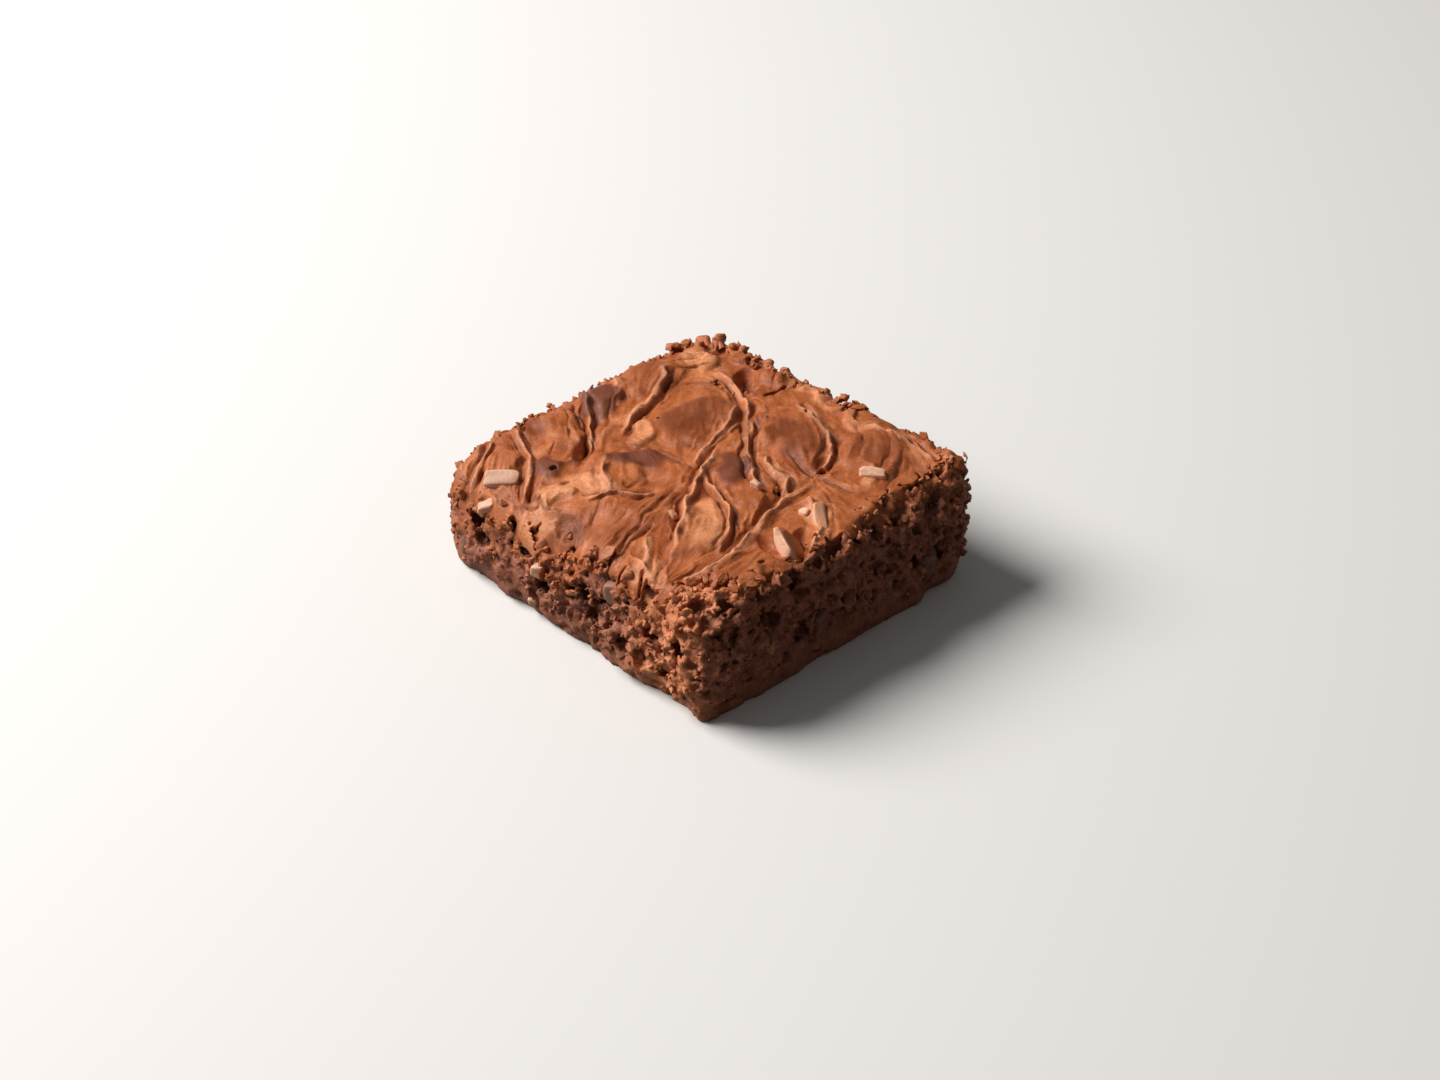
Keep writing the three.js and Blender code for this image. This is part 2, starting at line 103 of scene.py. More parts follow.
# A ridge's and a groove's profile: shares of a round bell and of a sharp cusp, and the cusp's narrowness.
PROFILES = {"ridge": (0.4, 0.6, 2.3), "groove": (0.3, 0.8, 2.8)}
FOLD = {"crest": 0.6, "gentle": 1.0, "steep": 0.44, "hollow_depth": 0.8, "hollow_gentle": 0.6}
PLEAT = {"narrowness": 2, "hollow_depth": 0.85, "hollow_at": 1.2, "hollow_narrowness": 3}
CUSP_POWER = 1.25
CREASE_STEPS = 28
CREASE_SHARE = 0.66
CREASE_BREADTH = 0.85
CREASE_TAPER = 6
CREASED_REACH = 4.5
GROOVE_GAIN = 1.4
FLOW_PULL = {"core": 0.8, "power": 1.2}
PUFF_SHARE = 0.85
ELLIPSE_GAIN = 1.25
ELLIPSE_REACH = 1.6

# Finer creases, which only the looks have.
FINE_CREASES = [
    ("groove", 0.6, 0.9, [(-5.5, 17.5), (-3, 14.5), (4.3, 6.8), (8.4, 3.5), (12.3, -0.8)]),
    ("groove", 0.6, 0.8, [(-4, 18.5), (-2, 16.4), (5.6, 8), (9.7, 4.7), (13, 3.4)]),
    ("ridge", 0.65, 0.7, [(-4.6, 13.5), (-3.2, 8), (-1.2, 1.5), (1.3, -4.4)]),
    ("ridge", 0.6, 0.6, [(5, -5.8), (9.4, -12.7), (14, -19.5)]),
    ("ridge", 0.6, 0.6, [(8.5, -6.4), (13.5, -9.2), (18.4, -11.4), (22.3, -14.5)]),
    ("ridge", 0.6, 0.7, [(10.5, 3), (13, 0.7), (16, -1.2)]),
    ("ridge", 0.7, 0.8, [(10.8, 6), (13.5, 5.5), (16.4, 4.2)]),
    ("groove", 0.6, 0.9, [(-19.8, -26.5), (-18.2, -30), (-16.3, -32)]),
    ("groove", 0.6, 0.8, [(-15.2, -30.6), (-14.2, -32.4), (-18.9, -34)]),
    ("groove", 0.55, 0.9, [(-18.9, -26.7), (-15.8, -26), (-13.6, -23)]),
    ("fold", 0.6, 1.1, [(-6, -25.8), (-3.5, -21.6), (0.5, -19.6), (2.5, -16)]),
    ("groove", 0.6, 1.0, [(-26.4, -16.3), (-25, -18.4), (-23.9, -20.7)]),
    ("groove", 0.6, 0.8, [(-25, -33.6), (-22.9, -34.2), (-20.3, -34.2)]),
    ("groove", 0.7, 1.1, [(-23.2, -10.9), (-19.8, -12.4), (-18, -17.5)]),
    ("ridge", 0.8, 0.8, [(-12.3, -15.7), (-8.9, -18.9), (-5.6, -20.9)]),
    ("groove", 0.6, 0.9, [(-15.4, -30), (-12.3, -31.8), (-8.3, -30)]),
    ("ridge", 0.8, 0.8, [(14.8, -32.4), (19.5, -33.4), (23.5, -35.2)]),
    ("groove", 0.6, 0.9, [(9.2, -23), (10.7, -29.4), (11.8, -33.6)]),
    ("groove", 0.6, 0.7, [(7.7, -28.7), (8.4, -32.5)]),
    ("groove", 0.6, 0.9, [(-25, 17.6), (-22.7, 21.3), (-17, 20.9)]),
    ("ridge", 0.8, 0.9, [(-18.7, 23.4), (-14, 21.8), (-8.5, 19.5)]),
    ("groove", 1.2, 1.0, [(-20, 29.8), (-17.3, 27.4), (-14.6, 25)]),
    ("ridge", 0.7, 0.7, [(-36, 24), (-33, 28), (-30, 31.5)]),
    ("groove", 0.6, 1.0, [(-35.5, 21.5), (-31.5, 26), (-28.6, 31)]),
    ("groove", 0.55, 0.9, [(-31, 20.5), (-28.6, 25), (-25.4, 29)]),
    ("groove", 0.6, 0.8, [(-22, 36), (-15.4, 33.4), (-10, 27.6)]),
    ("groove", 0.6, 0.7, [(-34, -28), (-32, -31), (-30.3, -34.2)]),
    ("groove", 0.6, 0.7, [(-32.8, -33.2), (-35, -34.2), (-37.3, -33.6)]),
    ("ridge", 0.7, 0.6, [(21.5, -1.4), (22.5, 2), (22, 6.4)]),
    ("ridge", 0.6, 0.6, [(24.3, 0.8), (27.4, 4), (31, 6)]),
    ("groove", 0.55, 0.6, [(-2, 5), (0, 1), (3, -4), (6, -8)]),
    ("groove", 0.55, 0.7, [(6.6, -3.4), (12.5, -7.4), (19, -9.6), (24, -13)]),
    ("groove", 0.55, 0.5, [(12, 25), (17, 21), (20, 16), (20.5, 11)]),
    ("groove", 0.55, 0.5, [(9, 23.5), (13.5, 20), (16, 15)]),
    ("groove", 0.6, 0.6, [(-22, 3.5), (-20.5, 0), (-19, -5)]),
    ("groove", 0.55, 0.5, [(-34, 5), (-29, 0.5), (-24, -5), (-21, -9)]),
    ("groove", 0.55, 0.5, [(-38, -5.5), (-31, -9.5), (-25, -14)]),
    ("groove", 0.55, 0.5, [(-35, -22), (-29, -24), (-23, -28), (-19, -32)]),
    ("groove", 0.55, 0.5, [(-36, -29), (-33, -33), (-31, -36)]),
    ("groove", 0.5, 0.5, [(-15, -16), (-10, -20), (-4, -25), (1, -33)]),
    ("groove", 0.5, 0.5, [(1, -17), (3, -24), (5, -33)]),
    ("groove", 0.5, 0.5, [(6, -12), (10, -19), (16, -25)]),
    ("groove", 0.5, 0.5, [(14, -22), (19, -27), (23, -34)]),
    ("groove", 0.5, 0.4, [(24, -10), (25, -18), (24, -28)]),
    ("groove", 0.5, 0.4, [(30, -14), (31, -22), (30, -31)]),
    ("groove", 0.5, 0.4, [(24, 8), (29, 6), (35, 1)]),
    ("groove", 0.5, 0.5, [(12, 30), (18, 26), (23, 20)]),
    ("groove", 0.5, 0.5, [(19, 32), (25, 26), (30, 18)]),
    ("groove", 0.5, 0.4, [(25, 30), (30, 24), (34, 16)]),
    ("groove", 0.5, 0.4, [(-32, 22), (-27, 15), (-24, 9)]),
    ("groove", 0.5, 0.4, [(-12, 24), (-6, 22), (0, 17)]),
]

# How the creases wander, how their breadth and height vary, and the broad undulations of the crust.
WANDER = [{"size": 3.6, "amount": 0.5, "seed": 38}, {"size": 1.5, "amount": 0.12, "seed": 42}]
PATCH_WANDER = 3.2
BREADTH_WANDER = [{"size": 4.5, "amount": 0.3, "seed": 40}]
RISE_WANDER = [{"size": 2.8, "amount": 0.3, "seed": 45}]
UNDULATIONS = [{"size": 7, "amount": 0.45, "seed": 1}, {"size": 3.2, "amount": 0.25, "seed": 2}]

# How the crust wrinkles along its creases: sizes, and how far the wrinkles stand out.
WRINKLES = [
    {"size": 0.95, "steps": 12, "rise": 0.1, "seed": 31},
    {"size": 0.42, "steps": 7, "rise": 0.05, "seed": 32},
]
WRINKLED = {"least": 0.2, "more": 0.8, "chip_loss": 0.6}
# How strongly the wrinkles are painted into the crust's colour: a painted highlight on their crests and
# painted shade in their hollows.
WRINKLE_PAINTED_LIGHT_SHARE = 0.55
# Thin pleats that run with the creases, thickest near them and down the shoulder.
PLEATS = {
    "size": 1.9, "steps": 16, "rise": 0.3, "narrowness": 2.6, "level": 0.3,
    "ridge": 0.8, "groove": 1.3, "seed": 33,
}
PUCKER_FROM = 5
PUCKER_REACH = 13.0

# Puffs of the crust between the creases: centre, half sizes, turn in degrees, rise.
PUFFS = [
    ((-13, 9), (7.5, 10.5), 20, 1.5),
    ((-33, 14), (6, 8), 10, 1.7),
    ((-33.5, 2), (5, 3.4), -30, 0.9),
    ((-30, -12), (7.5, 4.5), -25, 1.6),
    ((-29, -28.5), (5, 3), -20, 1.3),
    ((-14, -28.5), (3.6, 3.4), 0, 1.3),
    ((-16, -2.5), (4.6, 2.7), -35, 1.0),
    ((-9, -16.5), (8, 4.6), -35, 1.2),
    ((18.5, -18.5), (5.5, 8), 25, 1.4),
    ((5.5, 18), (9.5, 6.5), -25, 2.1),
    ((15, -4), (6.5, 3.6), -35, 1.1),
    ((22, 25), (9, 6), -35, 1.2),
    ((33, -22), (4, 8), 5, 1.1),
    ((28, 18.3), (2.9, 2), -20, 0.8),
    ((-32.4, 24.2), (3.4, 2.4), -20, 0.8),
    ((-28.2, 27), (4.6, 2.4), -50, 0.9),
    ((-34, 29.6), (3.4, 1.8), 30, 0.6),
    ((-13.5, 31.6), (5, 3), -12, 1.4),
    ((-24.5, 34), (4, 2.4), -10, 1.4),
    ((-34, 34.2), (3, 2.2), -40, 1.2),
    ((-3, 34), (4, 2), -12, 1.0),
    ((8, 31.5), (5, 2), -14, 0.9),
]

# Hollows, in the crust and where it has broken away: centre, half sizes, turn in degrees, depth.
HOLLOWS = [
    ((34.3, -7.3), (4.8, 1.8), -51, 2.0),
    ((18.8, 14.4), (1.5, 2.4), 25, 0.8),
    ((-17.3, 27.5), (4.4, 2.4), -41, 2.4),
    ((-32, 32.5), (3.2, 2), -35, 1.5),
    ((-20, -14.5), (1.8, 3.6), 25, 1.1),
    ((-4.5, -32.2), (3, 2), -15, 0.9),
    ((40.5, 20), (4.5, 17), 0, 2.0),
    ((31.8, -12.4), (4, 1.8), -14, 1.3),
]

# Holes that let the dark crumb show through the crust: centre, half sizes, turn in degrees.
HOLES = [
    ((34.6, -8), (2.8, 0.8), -51),
    ((19.2, 13.6), (0.45, 1.2), 20),
    ((-19.1, -23.3), (0.8, 0.6), 0),
    ((-17, 2.8), (0.6, 0.5), 0),
    ((-3, -32.7), (0.8, 0.5), -15),
    ((24.5, 33), (2.4, 0.5), -15),
    ((18.3, 1.9), (2, 0.6), -43),
    ((-36, -17), (1.6, 0.6), -30),
    ((-9.5, -36), (4, 0.6), -22),
    ((-26.9, -35.4), (1.0, 0.7), 0),
    ((20.2, -35.5), (1.8, 0.5), -50),
    ((7, -35.5), (1.2, 0.6), 0),
    ((2.5, 25.3), (1.4, 0.5), -40),
    ((-16.8, 27), (2.4, 0.9), -42),
    ((-30.8, 31.2), (1.6, 0.7), 20),
    ((-37, 27.5), (0.6, 1.6), -20),
    ((-9.2, 28), (0.5, 2.2), -10),
    ((-19.5, 33.2), (0.6, 1.8), 10),
    ((-20, 22), (1.6, 0.4), 0),
]
HOLE_DEPTH = 1.8
HOLE_SPREAD = 1.4

# Where the crust has crumbled away: full up to a distance from a corner or an edge, and fading beyond it.
CRUMBLED = {
    "back_corner": (6.5, 5), "front_corner": (8, 5), "back_edge": (1.5, 2.5), "back_edge_end": 14,
    "back_edge_fade": 8, "rim": (1.2, 2), "rim_share": 0.8,
}
BARE_PUFF_LOSS = 0.35
BARE_CREASE_LOSS = 0.75

# The broken rim of the crust: how far it stays from corners and edges, and how ragged it is.
RIM = {
    "back_corner": 8, "front_corner": 11, "back_edge": 2.3, "back_edge_end": 6, "back_edge_slant": 0.7,
    "right_edge_near": 1.6, "right_edge_far": 3.8, "right_edge_from": 2, "right_edge_over": 14,
    "overhang": 0.4, "calm_overhang": -0.5,
    "raggedness": 1.3, "edge_raggedness": 1.1, "hole_raggedness": 0.2, "calm_loss": 0.5,
}
RAGGED = [{"size": 2.6, "amount": 1.1, "seed": 34}, {"size": 1.1, "amount": 0.6, "seed": 35}]
CRUST_FRAY = {"size": 0.9, "amount": 0.25, "seed": 37}

# Cracks that part the crust near its rim: how wide at the rim, and how far in they run.
CRACKS = {"size": 4.6, "slope": 1.5, "half_width": 0.34, "from": 1, "reach": 4.5, "closing": 9, "seed": 36}

# Caves torn in the crumb of the walls: centre, half sizes, turn in degrees.
CAVES = [
    ((-25.7, -37, 10.2), (1.7, 2.4, 1.6), 0),
    ((-26.8, -36.2, 13.2), (1.0, 1.8, 0.9), 0),
    ((4.6, -37, 13.2), (1.5, 2.8, 1.9), 0),
    ((1.0, -37, 10.8), (1.1, 2.4, 1.0), 0),
    ((17.4, -37, 17.6), (0.6, 2.4, 3.0), 0),
    ((-13.5, -35.8, 13.6), (2.8, 1.2, 1.1), -30),
    ((-7.5, -36.8, 13.0), (2.8, 1.4, 1.0), -10),
    ((38.4, 17.0, 24.6), (2.2, 2.0, 1.2), 0),
    ((38.2, 8.0, 25.0), (1.8, 1.7, 1.0), 0),
    ((38.6, -3.4, 24.6), (1.9, 2.2, 1.3), 0),
    ((39.2, 25.0, 22.6), (1.8, 2.2, 1.9), 0),
    ((38.8, -13.5, 23.4), (1.6, 1.7, 1.2), 0),
]

# Crumbs standing up where the back corner has lost its crust: place, half size, height above the top.
PEAKS = [
    ((-38, 34.5), 1.8, 1.0),
    ((-35, 36.3), 1.5, 1.1),
    ((-38.6, 30.5), 1.5, 0.7),
    ((-33.6, 34.2), 1.3, 0.8),
    ((-30.5, 36.4), 1.6, 0.9),
    ((-38.4, 26.5), 1.3, 0.5),
    ((-27, 35.8), 1.3, 0.5),
    ((-23.6, 36.6), 1.4, 0.7),
    ((-19.8, 35.9), 1.2, 0.4),
    ((-36, 31.6), 1.2, 0.6),
]
PEAK_SHAPE = (1.15, 1, 0.85)

# Where the torn crumb is calmer, with broad lumps: centre, half sizes, turn in degrees, share.
CALM = [
    ((-38, 36), (15, 9), -10, 0.65),
    ((-34, -38), (20, 9), 0, 0.45),
    ((40, 6), (4, 34), 0, 0.35),
    ((-5, 38), (22, 4), 0, 0.5),
]

# Where the crust is darker or paler than around, partly its own colour and partly painted highlight and
# painted shade: centre, half sizes, turn in degrees, tone from -1 to 1.
TONES_AND_PAINTED_LIGHT = [
    ((-13.5, 7.5), (5.5, 7.5), 25, -0.75),
    ((-11, 8.5), (8, 11), 25, -0.35),
    ((-27, -20), (3.5, 2), 30, 0.5),
    ((-22, -2), (4, 1.6), 40, 0.4),
    ((7.5, 16), (7, 4.2), -30, -0.7),
    ((7.5, 17), (9.5, 6.5), -30, -0.35),
    ((-16, -2.5), (4.6, 2.6), -35, 0.9),
    ((18, -18), (7, 5), -45, 0.4),
    ((15, -13.5), (4, 2.2), -30, 0.5),
    ((-5, -32), (4.5, 2.6), -10, -0.9),
    ((-35.5, -16), (4.5, 2.6), -30, -0.9),
    ((-13, -28.2), (3.6, 3.2), 0, 1.0),
    ((-9.5, -22), (6, 3), 20, 0.9),
    ((-11.5, -34), (5, 1.8), -18, 0.9),
    ((19.5, -32.8), (4.4, 2.4), -20, 1.0),
    ((22, -18.5), (5, 3.4), -45, 0.5),
    ((-4, 34), (9, 2.8), -12, 0.8),
    ((12, 30.5), (7, 2.2), -12, 0.6),
    ((-17, 35.5), (6, 2.4), -5, 0.5),
    ((30, 30), (6, 3), -35, 0.4),
    ((-29, -34.5), (7, 2.6), 15, 0.3),
    ((-20, -33), (5, 3), 10, -0.2),
    ((3, -29), (8, 5), -10, -0.35),
    ((30, -28), (6, 5), -40, -0.3),
    ((24, 22), (7, 6), -30, -0.25),
    ((-36, -30), (3, 4), 20, 0.3),
    ((-29, 26), (8.5, 5), -35, 0.45),
    ((-17, 27.2), (3.6, 2), -42, -0.9),
    ((31, 1), (5.5, 2), -38, 0.9),
    ((28.3, 18.2), (2.6, 1.7), -15, 1.0),
    ((29.5, 15), (2.2, 1.8), -30, 0.5),
    ((-33, 13.5), (6, 7), 10, -0.6),
    ((6, -22), (2.4, 10), 18, -0.4),
    ((-7, -13), (4, 3), -30, 0.25),
    ((21, 25.5), (8, 4.4), -35, -0.6),
    ((34, -22), (4, 9), 5, 0.15),
    ((23, 5), (2, 6), 5, -0.3),
    ((12.8, 6.5), (4.5, 1.4), -25, 0.9),
    ((15, 0), (2, 1.1), -40, 0.9),
    ((-32, 27), (5, 3), -30, 0.6),
]

# Chocolate chips that lie under the crust: centre, full size, turn in degrees.
DRAPED_CHIPS = [
    ((-9, -9.7), (12.5, 6.2, 1.4), 33),
    ((-21, -22.5), (8, 5.6, 2), 35),
    ((-32, 0), (15, 8, 1.6), -42),
    ((7.5, 0.3), (12.5, 6.4, 1), -38),
]
DRAPE_SHARE = 0.35
# Chips of the top: centre, full size, turn in degrees, paleness from 0 to 1, how far the middle lies above
# the crust, how much crust clings to it, and its roll in degrees.
# Paleness is a pale bloom, and on the palest chips a painted highlight.
TOP_CHIPS = [
    ((33.5, -9.6), (6, 4.8, 4.2), -8, 1.0, -0.35, 1.0, 22),
    ((-26.2, -31), (6.6, 2.3, 1.2), 39, 0.7, -0.32, 0, 0),
    ((31.2, 0.9), (7.4, 2.4, 2), -40, 0.75, -0.3, 0.5, 0),
    ((27.7, 0), (1.8, 1.4, 1.6), 0, 0.9, 0.1, 0, 0),
    ((15.6, -1.2), (2, 1.5, 1.6), 20, 0.9, 0.1, 0, 0),
    ((10.4, -18.3), (1.6, 1.2, 1.4), 0, 0.8, 0.1, 0, 0),
    ((-25.8, -35.6), (3, 1.6, 1.6), 35, 0.8, 0.2, 0, 0),
    ((28.5, 18), (4.8, 1.9, 1.2), 35, 0.9, -0.1, 0, 0),
]
# Chips of a wall: place along it, height, full size, paleness, and how far the chip stands out of the wall.
# Paleness is a pale bloom, and on the palest chip a painted highlight.
LEFT_CHIPS = [
    (12.8, 16.8, (4, 3.2, 4.4), 0.25, 0.2),
    (-8.7, 11.4, (2.4, 2.2, 2.6), 1.0, 1.2),
    (-10.3, 3.2, (1.8, 1.6, 1.7), 0.9, 1.1),
    (-29.5, 6.4, (5, 2.6, 4.2), 0.1, 0.4),
]
RIGHT_CHIPS = [
    (-6, 9.5, (2.8, 6, 5.2), 0.0, 0.5),
    (24, 8.2, (2.6, 5, 5.4), 0.0, 0.5),
]
WALL_CHIP_TURN = 28
SLOPE_STEP = 1.5
STEEPEST = 0.7
CHIP_DIVISIONS = 5
CHIP_CUTS = {"count": 5, "nearest": 0.48, "farthest": 0.62, "flatness": 0.85}
CHIP_SQUARENESS = 0.38
CHIP_SWELL = 1.08
CHIP_WAVES = {"ways": ((7, 3, 2), (-3, 8, 4), (5, -4, 9)), "shift": 1.7, "share": 0.03}
CLINGING = {"up": 0.9, "sideways": 0.6, "from": 0.02, "over": 0.14}

# The crust as a shell, with its full thickness from a distance inside its rim on, and the crumb under it.
CRUST_VOXEL = 0.25
CRUST_LOWEST = 6.0
CRUST_THINNEST = 0.5
CRUST_THICKEST = 1.3
CRUST_FULL_AT = 3
COVERED = {"over": 1.2, "shift": 0.6}
CRUMB_VOXEL = 0.3
UNDERCUT = {"depth": 0.9, "below": 1.9, "height": 1.2}
LUMPS = {
    "share": 0.12, "smallest": 0.4, "largest": 1.0, "rarity": 2, "shape": (1.25, 1, 0.9),
    "turn": 40, "seed": 41,
}
BUBBLES = {"share": 0.6, "smallest": 0.3, "largest": 1.0, "rarity": 2.5, "seed": 44}
PIT_SHARE = 0.8
# How far outside a shape the field still changes, in millimetres.
MARGIN = 0.6
STEEPEST_SQUARED = 9.0

# Where the crumb is open: less near the base, up to a height that waves, and not close under the crust.
# Each wave is its rate to a millimetre and where it starts.
DENSE_OPENNESS = 0.3
DENSE_HEIGHT = (2.5, 6)
DENSE_SWELL = 2.2
DENSE_WAVES = ((0.31, 1.1), (0.37, 0.4))
UNDER_CRUST = {"below": 3.5, "over": 1.5, "inside": 0.3}

# The torn crumb is a pack of clumps, each with its own level and slant, parted by seams.
CLUMPS = [
    {"size": 2.9, "level": 0.45, "slant": 0.34, "seam": 0.45, "seed": 51},
    {"size": 1.3, "level": 0.28, "slant": 0.42, "seam": 0.28, "seed": 61},
]
CLUMP_REACH = 2.2
CLUMP_JITTER = 0.42
SEAM_BREADTH = 0.3
LEAST_OPENNESS = 0.02

# A piece is thinned to at most that many triangles, and a loose part of the crust is kept from that many
# points on.
MOST_TRIANGLES = 190000
FEWEST_POINTS = 300

# Masks for the materials. A pair is how far a mask stays full, and over what distance it then fades.
EDGE_FADE = 2.5
BROWNED_DEPTH = (0.8, 3.2)
# Painted light on the lit side of the front corner: how far from the corner it stays full, and over what
# distance it fades.
PAINTED_FRONT_LIGHT_REACH = (12, 18)
DENSE_LOOK = (3, 5)
# How deep a hollow of the crumb lies where its painted shade is full, in millimetres.
HOLLOW_SHADE_DEPTH = 1.6
# The right wall, which lies in shade: most of its browned tint is taken off as painted shade, and the front
# corner's painted light is kept off it.
SHADED_RIGHT_WALL = {"from": 2, "over": 1.5, "painted_shade_share": 0.7}
LOOSE_RIM = (0.2, 2.2)
OUTER_SIDE = {"over": 0.2, "shift": 1.5}
LOOSE_ABOVE = 2

# How deep the grain of a surface looks, in metres, and what it is made of.
GRAIN_RELIEF = 0.00025
CHOCOLATE_RELIEF = 0.0002
GRAIN_SHARE = 0.7
PORE_SHARE = 0.3

# Colours laid over the mottle one after another: where from, its value at none and at most, how much at
# most, and the colour as it looks on screen.
CRUST_LAYERS = [
    ("patches", 0.52, 0.68, 0.55, (206, 134, 100)),
    ("patches", 0.46, 0.3, 0.45, (128, 66, 38)),
    # Tone: partly the crust's own colour, partly painted highlight and painted shade.
    ("tone_and_painted_light", 0.1, 1.0, 0.8, (238, 160, 110)),
    ("tone_and_painted_light", -0.1, -1.0, 0.8, (120, 56, 24)),
    # Painted highlight on the ridges, painted shade in the grooves.
    ("ridge", 0.28, 0.85, 0.85, (234, 162, 120)),
    ("groove", 0.2, 0.8, 0.62, (84, 38, 18)),
    # On the wrinkles, a painted highlight on their crests and painted shade in their hollows.
    ("wrinkle_painted_light", 0.4, 2.4, 0.28, (228, 150, 100)),
    ("wrinkle_painted_light", -0.4, -2.4, 0.3, (100, 46, 20)),
    ("chip", 0.15, 0.8, 0.85, (102, 54, 40)),
    ("edge", 0.3, 1.0, 0.5, (170, 94, 52)),
    ("grain", 0.35, 0.65, 0.35, (112, 52, 22)),
]
CRUMB_LAYERS = [
    ("patches", 0.5, 0.66, 0.45, (160, 100, 86)),
    ("dense", 0.0, 1.0, 0.6, (166, 102, 72)),
    ("browned", 0.0, 1.0, 0.7, (196, 112, 62)),
    # Painted light on the lit side of the front corner.
    ("painted_front_light", 0.0, 1.0, 0.75, (222, 140, 92)),
    ("tint", 0.6, 1.0, 0.5, (222, 148, 104)),
    # Painted shade in the crumb's hollows.
    ("depth", 0.45, 1.25, 0.7, (60, 27, 15)),
    ("grain", 0.42, 0.68, 0.4, (84, 42, 26)),
]

# Loose crumbs and flakes: how much rarer large ones are, how they are stretched, how finely they wobble.
RARITY = 2.5
STRETCHES = ((0.8, 1.35), (0.65, 1.1))
WOBBLES_TO_A_METRE = 1400.0
FULL_TURN = 6.28
# Inputs of the scatter tree. Sizes are in metres, the tilt in radians.
GRAINS = {
    "Smallest": 0.0005, "Largest": 0.0022, "Flatness": 0.75, "Lift": 0.0, "Tilt": 3.1, "Unevenness": 0.8,
}
FLAKES = {
    "Smallest": 0.001, "Largest": 0.0032, "Flatness": 0.22, "Lift": 0.06, "Tilt": 0.5, "Unevenness": 0.5,
}
SCATTERED = {
    "wall_crumbs": {"Count to a square metre": 2.85e5, "Seed": 3, **GRAINS},
    "edge_crumbs": {"Count to a square metre": 6e5, "Seed": 4, **GRAINS},
    "crust_flakes": {"Count to a square metre": 2e5, "Seed": 6, **FLAKES},
}

# The camera stands where the photograph was taken from.
CAMERA = {
    "azimuth": 46.85, "elevation": 35.13, "distance": 600.0, "target": (6.62, -2.40, 10.0), "lens": 75.31,
}
KEY_LIGHT = {
    "azimuth": -58, "elevation": 43, "distance": 1.2, "size": 0.8, "power": 22.9, "tint": (1, 0.97, 0.94),
}
SKY = {"Color": (1, 0.98, 0.96, 1), "Strength": 0.12}
FLOOR = {"half": 3.0, "seen": (0.8, 0.79, 0.78, 1), "thrown": (0.1, 0.08, 0.06, 1)}


def mix(a, b, t):
    return a + (b - a) * t


def clamp01(t):
    return np.clip(t, 0.0, 1.0)


def smooth(t):
    t = clamp01(t)
    return t * t * (3 - 2 * t)


def fading(distance, full, fade):
    """1 up to a distance, then down to 0 over the length of the fade."""
    return 1 - smooth((distance - full) / fade)


def bell(t):
    return np.exp(-t * t)


def cusp(t):
    """A groove with a sharp bottom, as where a crust folds on itself."""
    return np.exp(-np.abs(t) ** CUSP_POWER)


def skewed(t, rising, falling):
    """A bell with its own width on each side of its top."""
    return bell(t / np.where(t > 0, rising, falling))


def lattice(ix, iy, iz, seed):
    """Repeatable values from -1 to 1 on a lattice of whole numbers, the same as the solid's."""
    factors = (374761393, 668265263, 1274126177, 982451653)
    parts = [np.atleast_1d(i).astype(np.int64).astype(np.uint32) for i in (ix, iy, iz, seed)]
    h = sum(part * np.uint32(factor) for part, factor in zip(parts, factors))
    h = (h ^ (h >> np.uint32(13))) * np.uint32(1103515245)
    h = (h ^ (h >> np.uint32(15))) * np.uint32(2246822519)
    return (h ^ (h >> np.uint32(16))) / 2147483648.0 - 1


def lattice_weights(places):
    """The whole numbers that surround the places, and each one's share in each place."""
    low = np.floor(places).astype(int)
    t = places - low
    share = t * t * t * (t * (t * 6 - 15) + 10)
    cells = np.arange(low.min(), low.max() + 2)
    weights = np.zeros((len(places), len(cells)), np.float32)
    rows = np.arange(len(places))
    weights[rows, low - cells[0]] = 1 - share
    weights[rows, low - cells[0] + 1] = share
    return cells, weights


def grid_noise(axes, size, seed):
    """Smooth noise from -1 to 1 on the grid that the axes span."""
    found = [lattice_weights(axis / size) for axis in axes]
    cells = np.meshgrid(*[cell for cell, _ in found], indexing="ij")
    values = lattice(*cells, seed).astype(np.float32)
    for _, weights in found:
        values = np.tensordot(values, weights, axes=(0, 1))
    return values


def flat_noise(x_axis, y_axis, size, seed):
    return grid_noise((x_axis, y_axis, np.zeros(1)), size, seed)[:, :, 0]


def layered(x_axis, y_axis, layers, shift=0):
    """A sum of noises seen from above, each of its own size and amount."""
    noises = [(w["amount"], flat_noise(x_axis, y_axis, w["size"], w["seed"] + shift)) for w in layers]
    return sum(amount * noise for amount, noise in noises)


def plan_radius(x, y):
    near_left = np.where(y < 0, PLAN_RADII["left"], PLAN_RADII["back"])
    near_right = np.where(y < 0, PLAN_RADII["front"], PLAN_RADII["right"])
    return np.where(x < 0, near_left, near_right)


def inset(x, y):
    """Distance inwards from the outline of the block, seen from above."""
    r = plan_radius(x, y)
    qx = np.abs(x) - LENGTH / 2 + r
    qy = np.abs(y) - WIDTH / 2 + r
    return r - np.minimum(np.maximum(qx, qy), 0) - np.hypot(np.maximum(qx, 0), np.maximum(qy, 0))


def from_back_corner(x, y):
    return np.hypot(x + LENGTH / 2, y - WIDTH / 2)


def from_front_corner(x, y):
    return np.hypot(x - LENGTH / 2, y + WIDTH / 2)


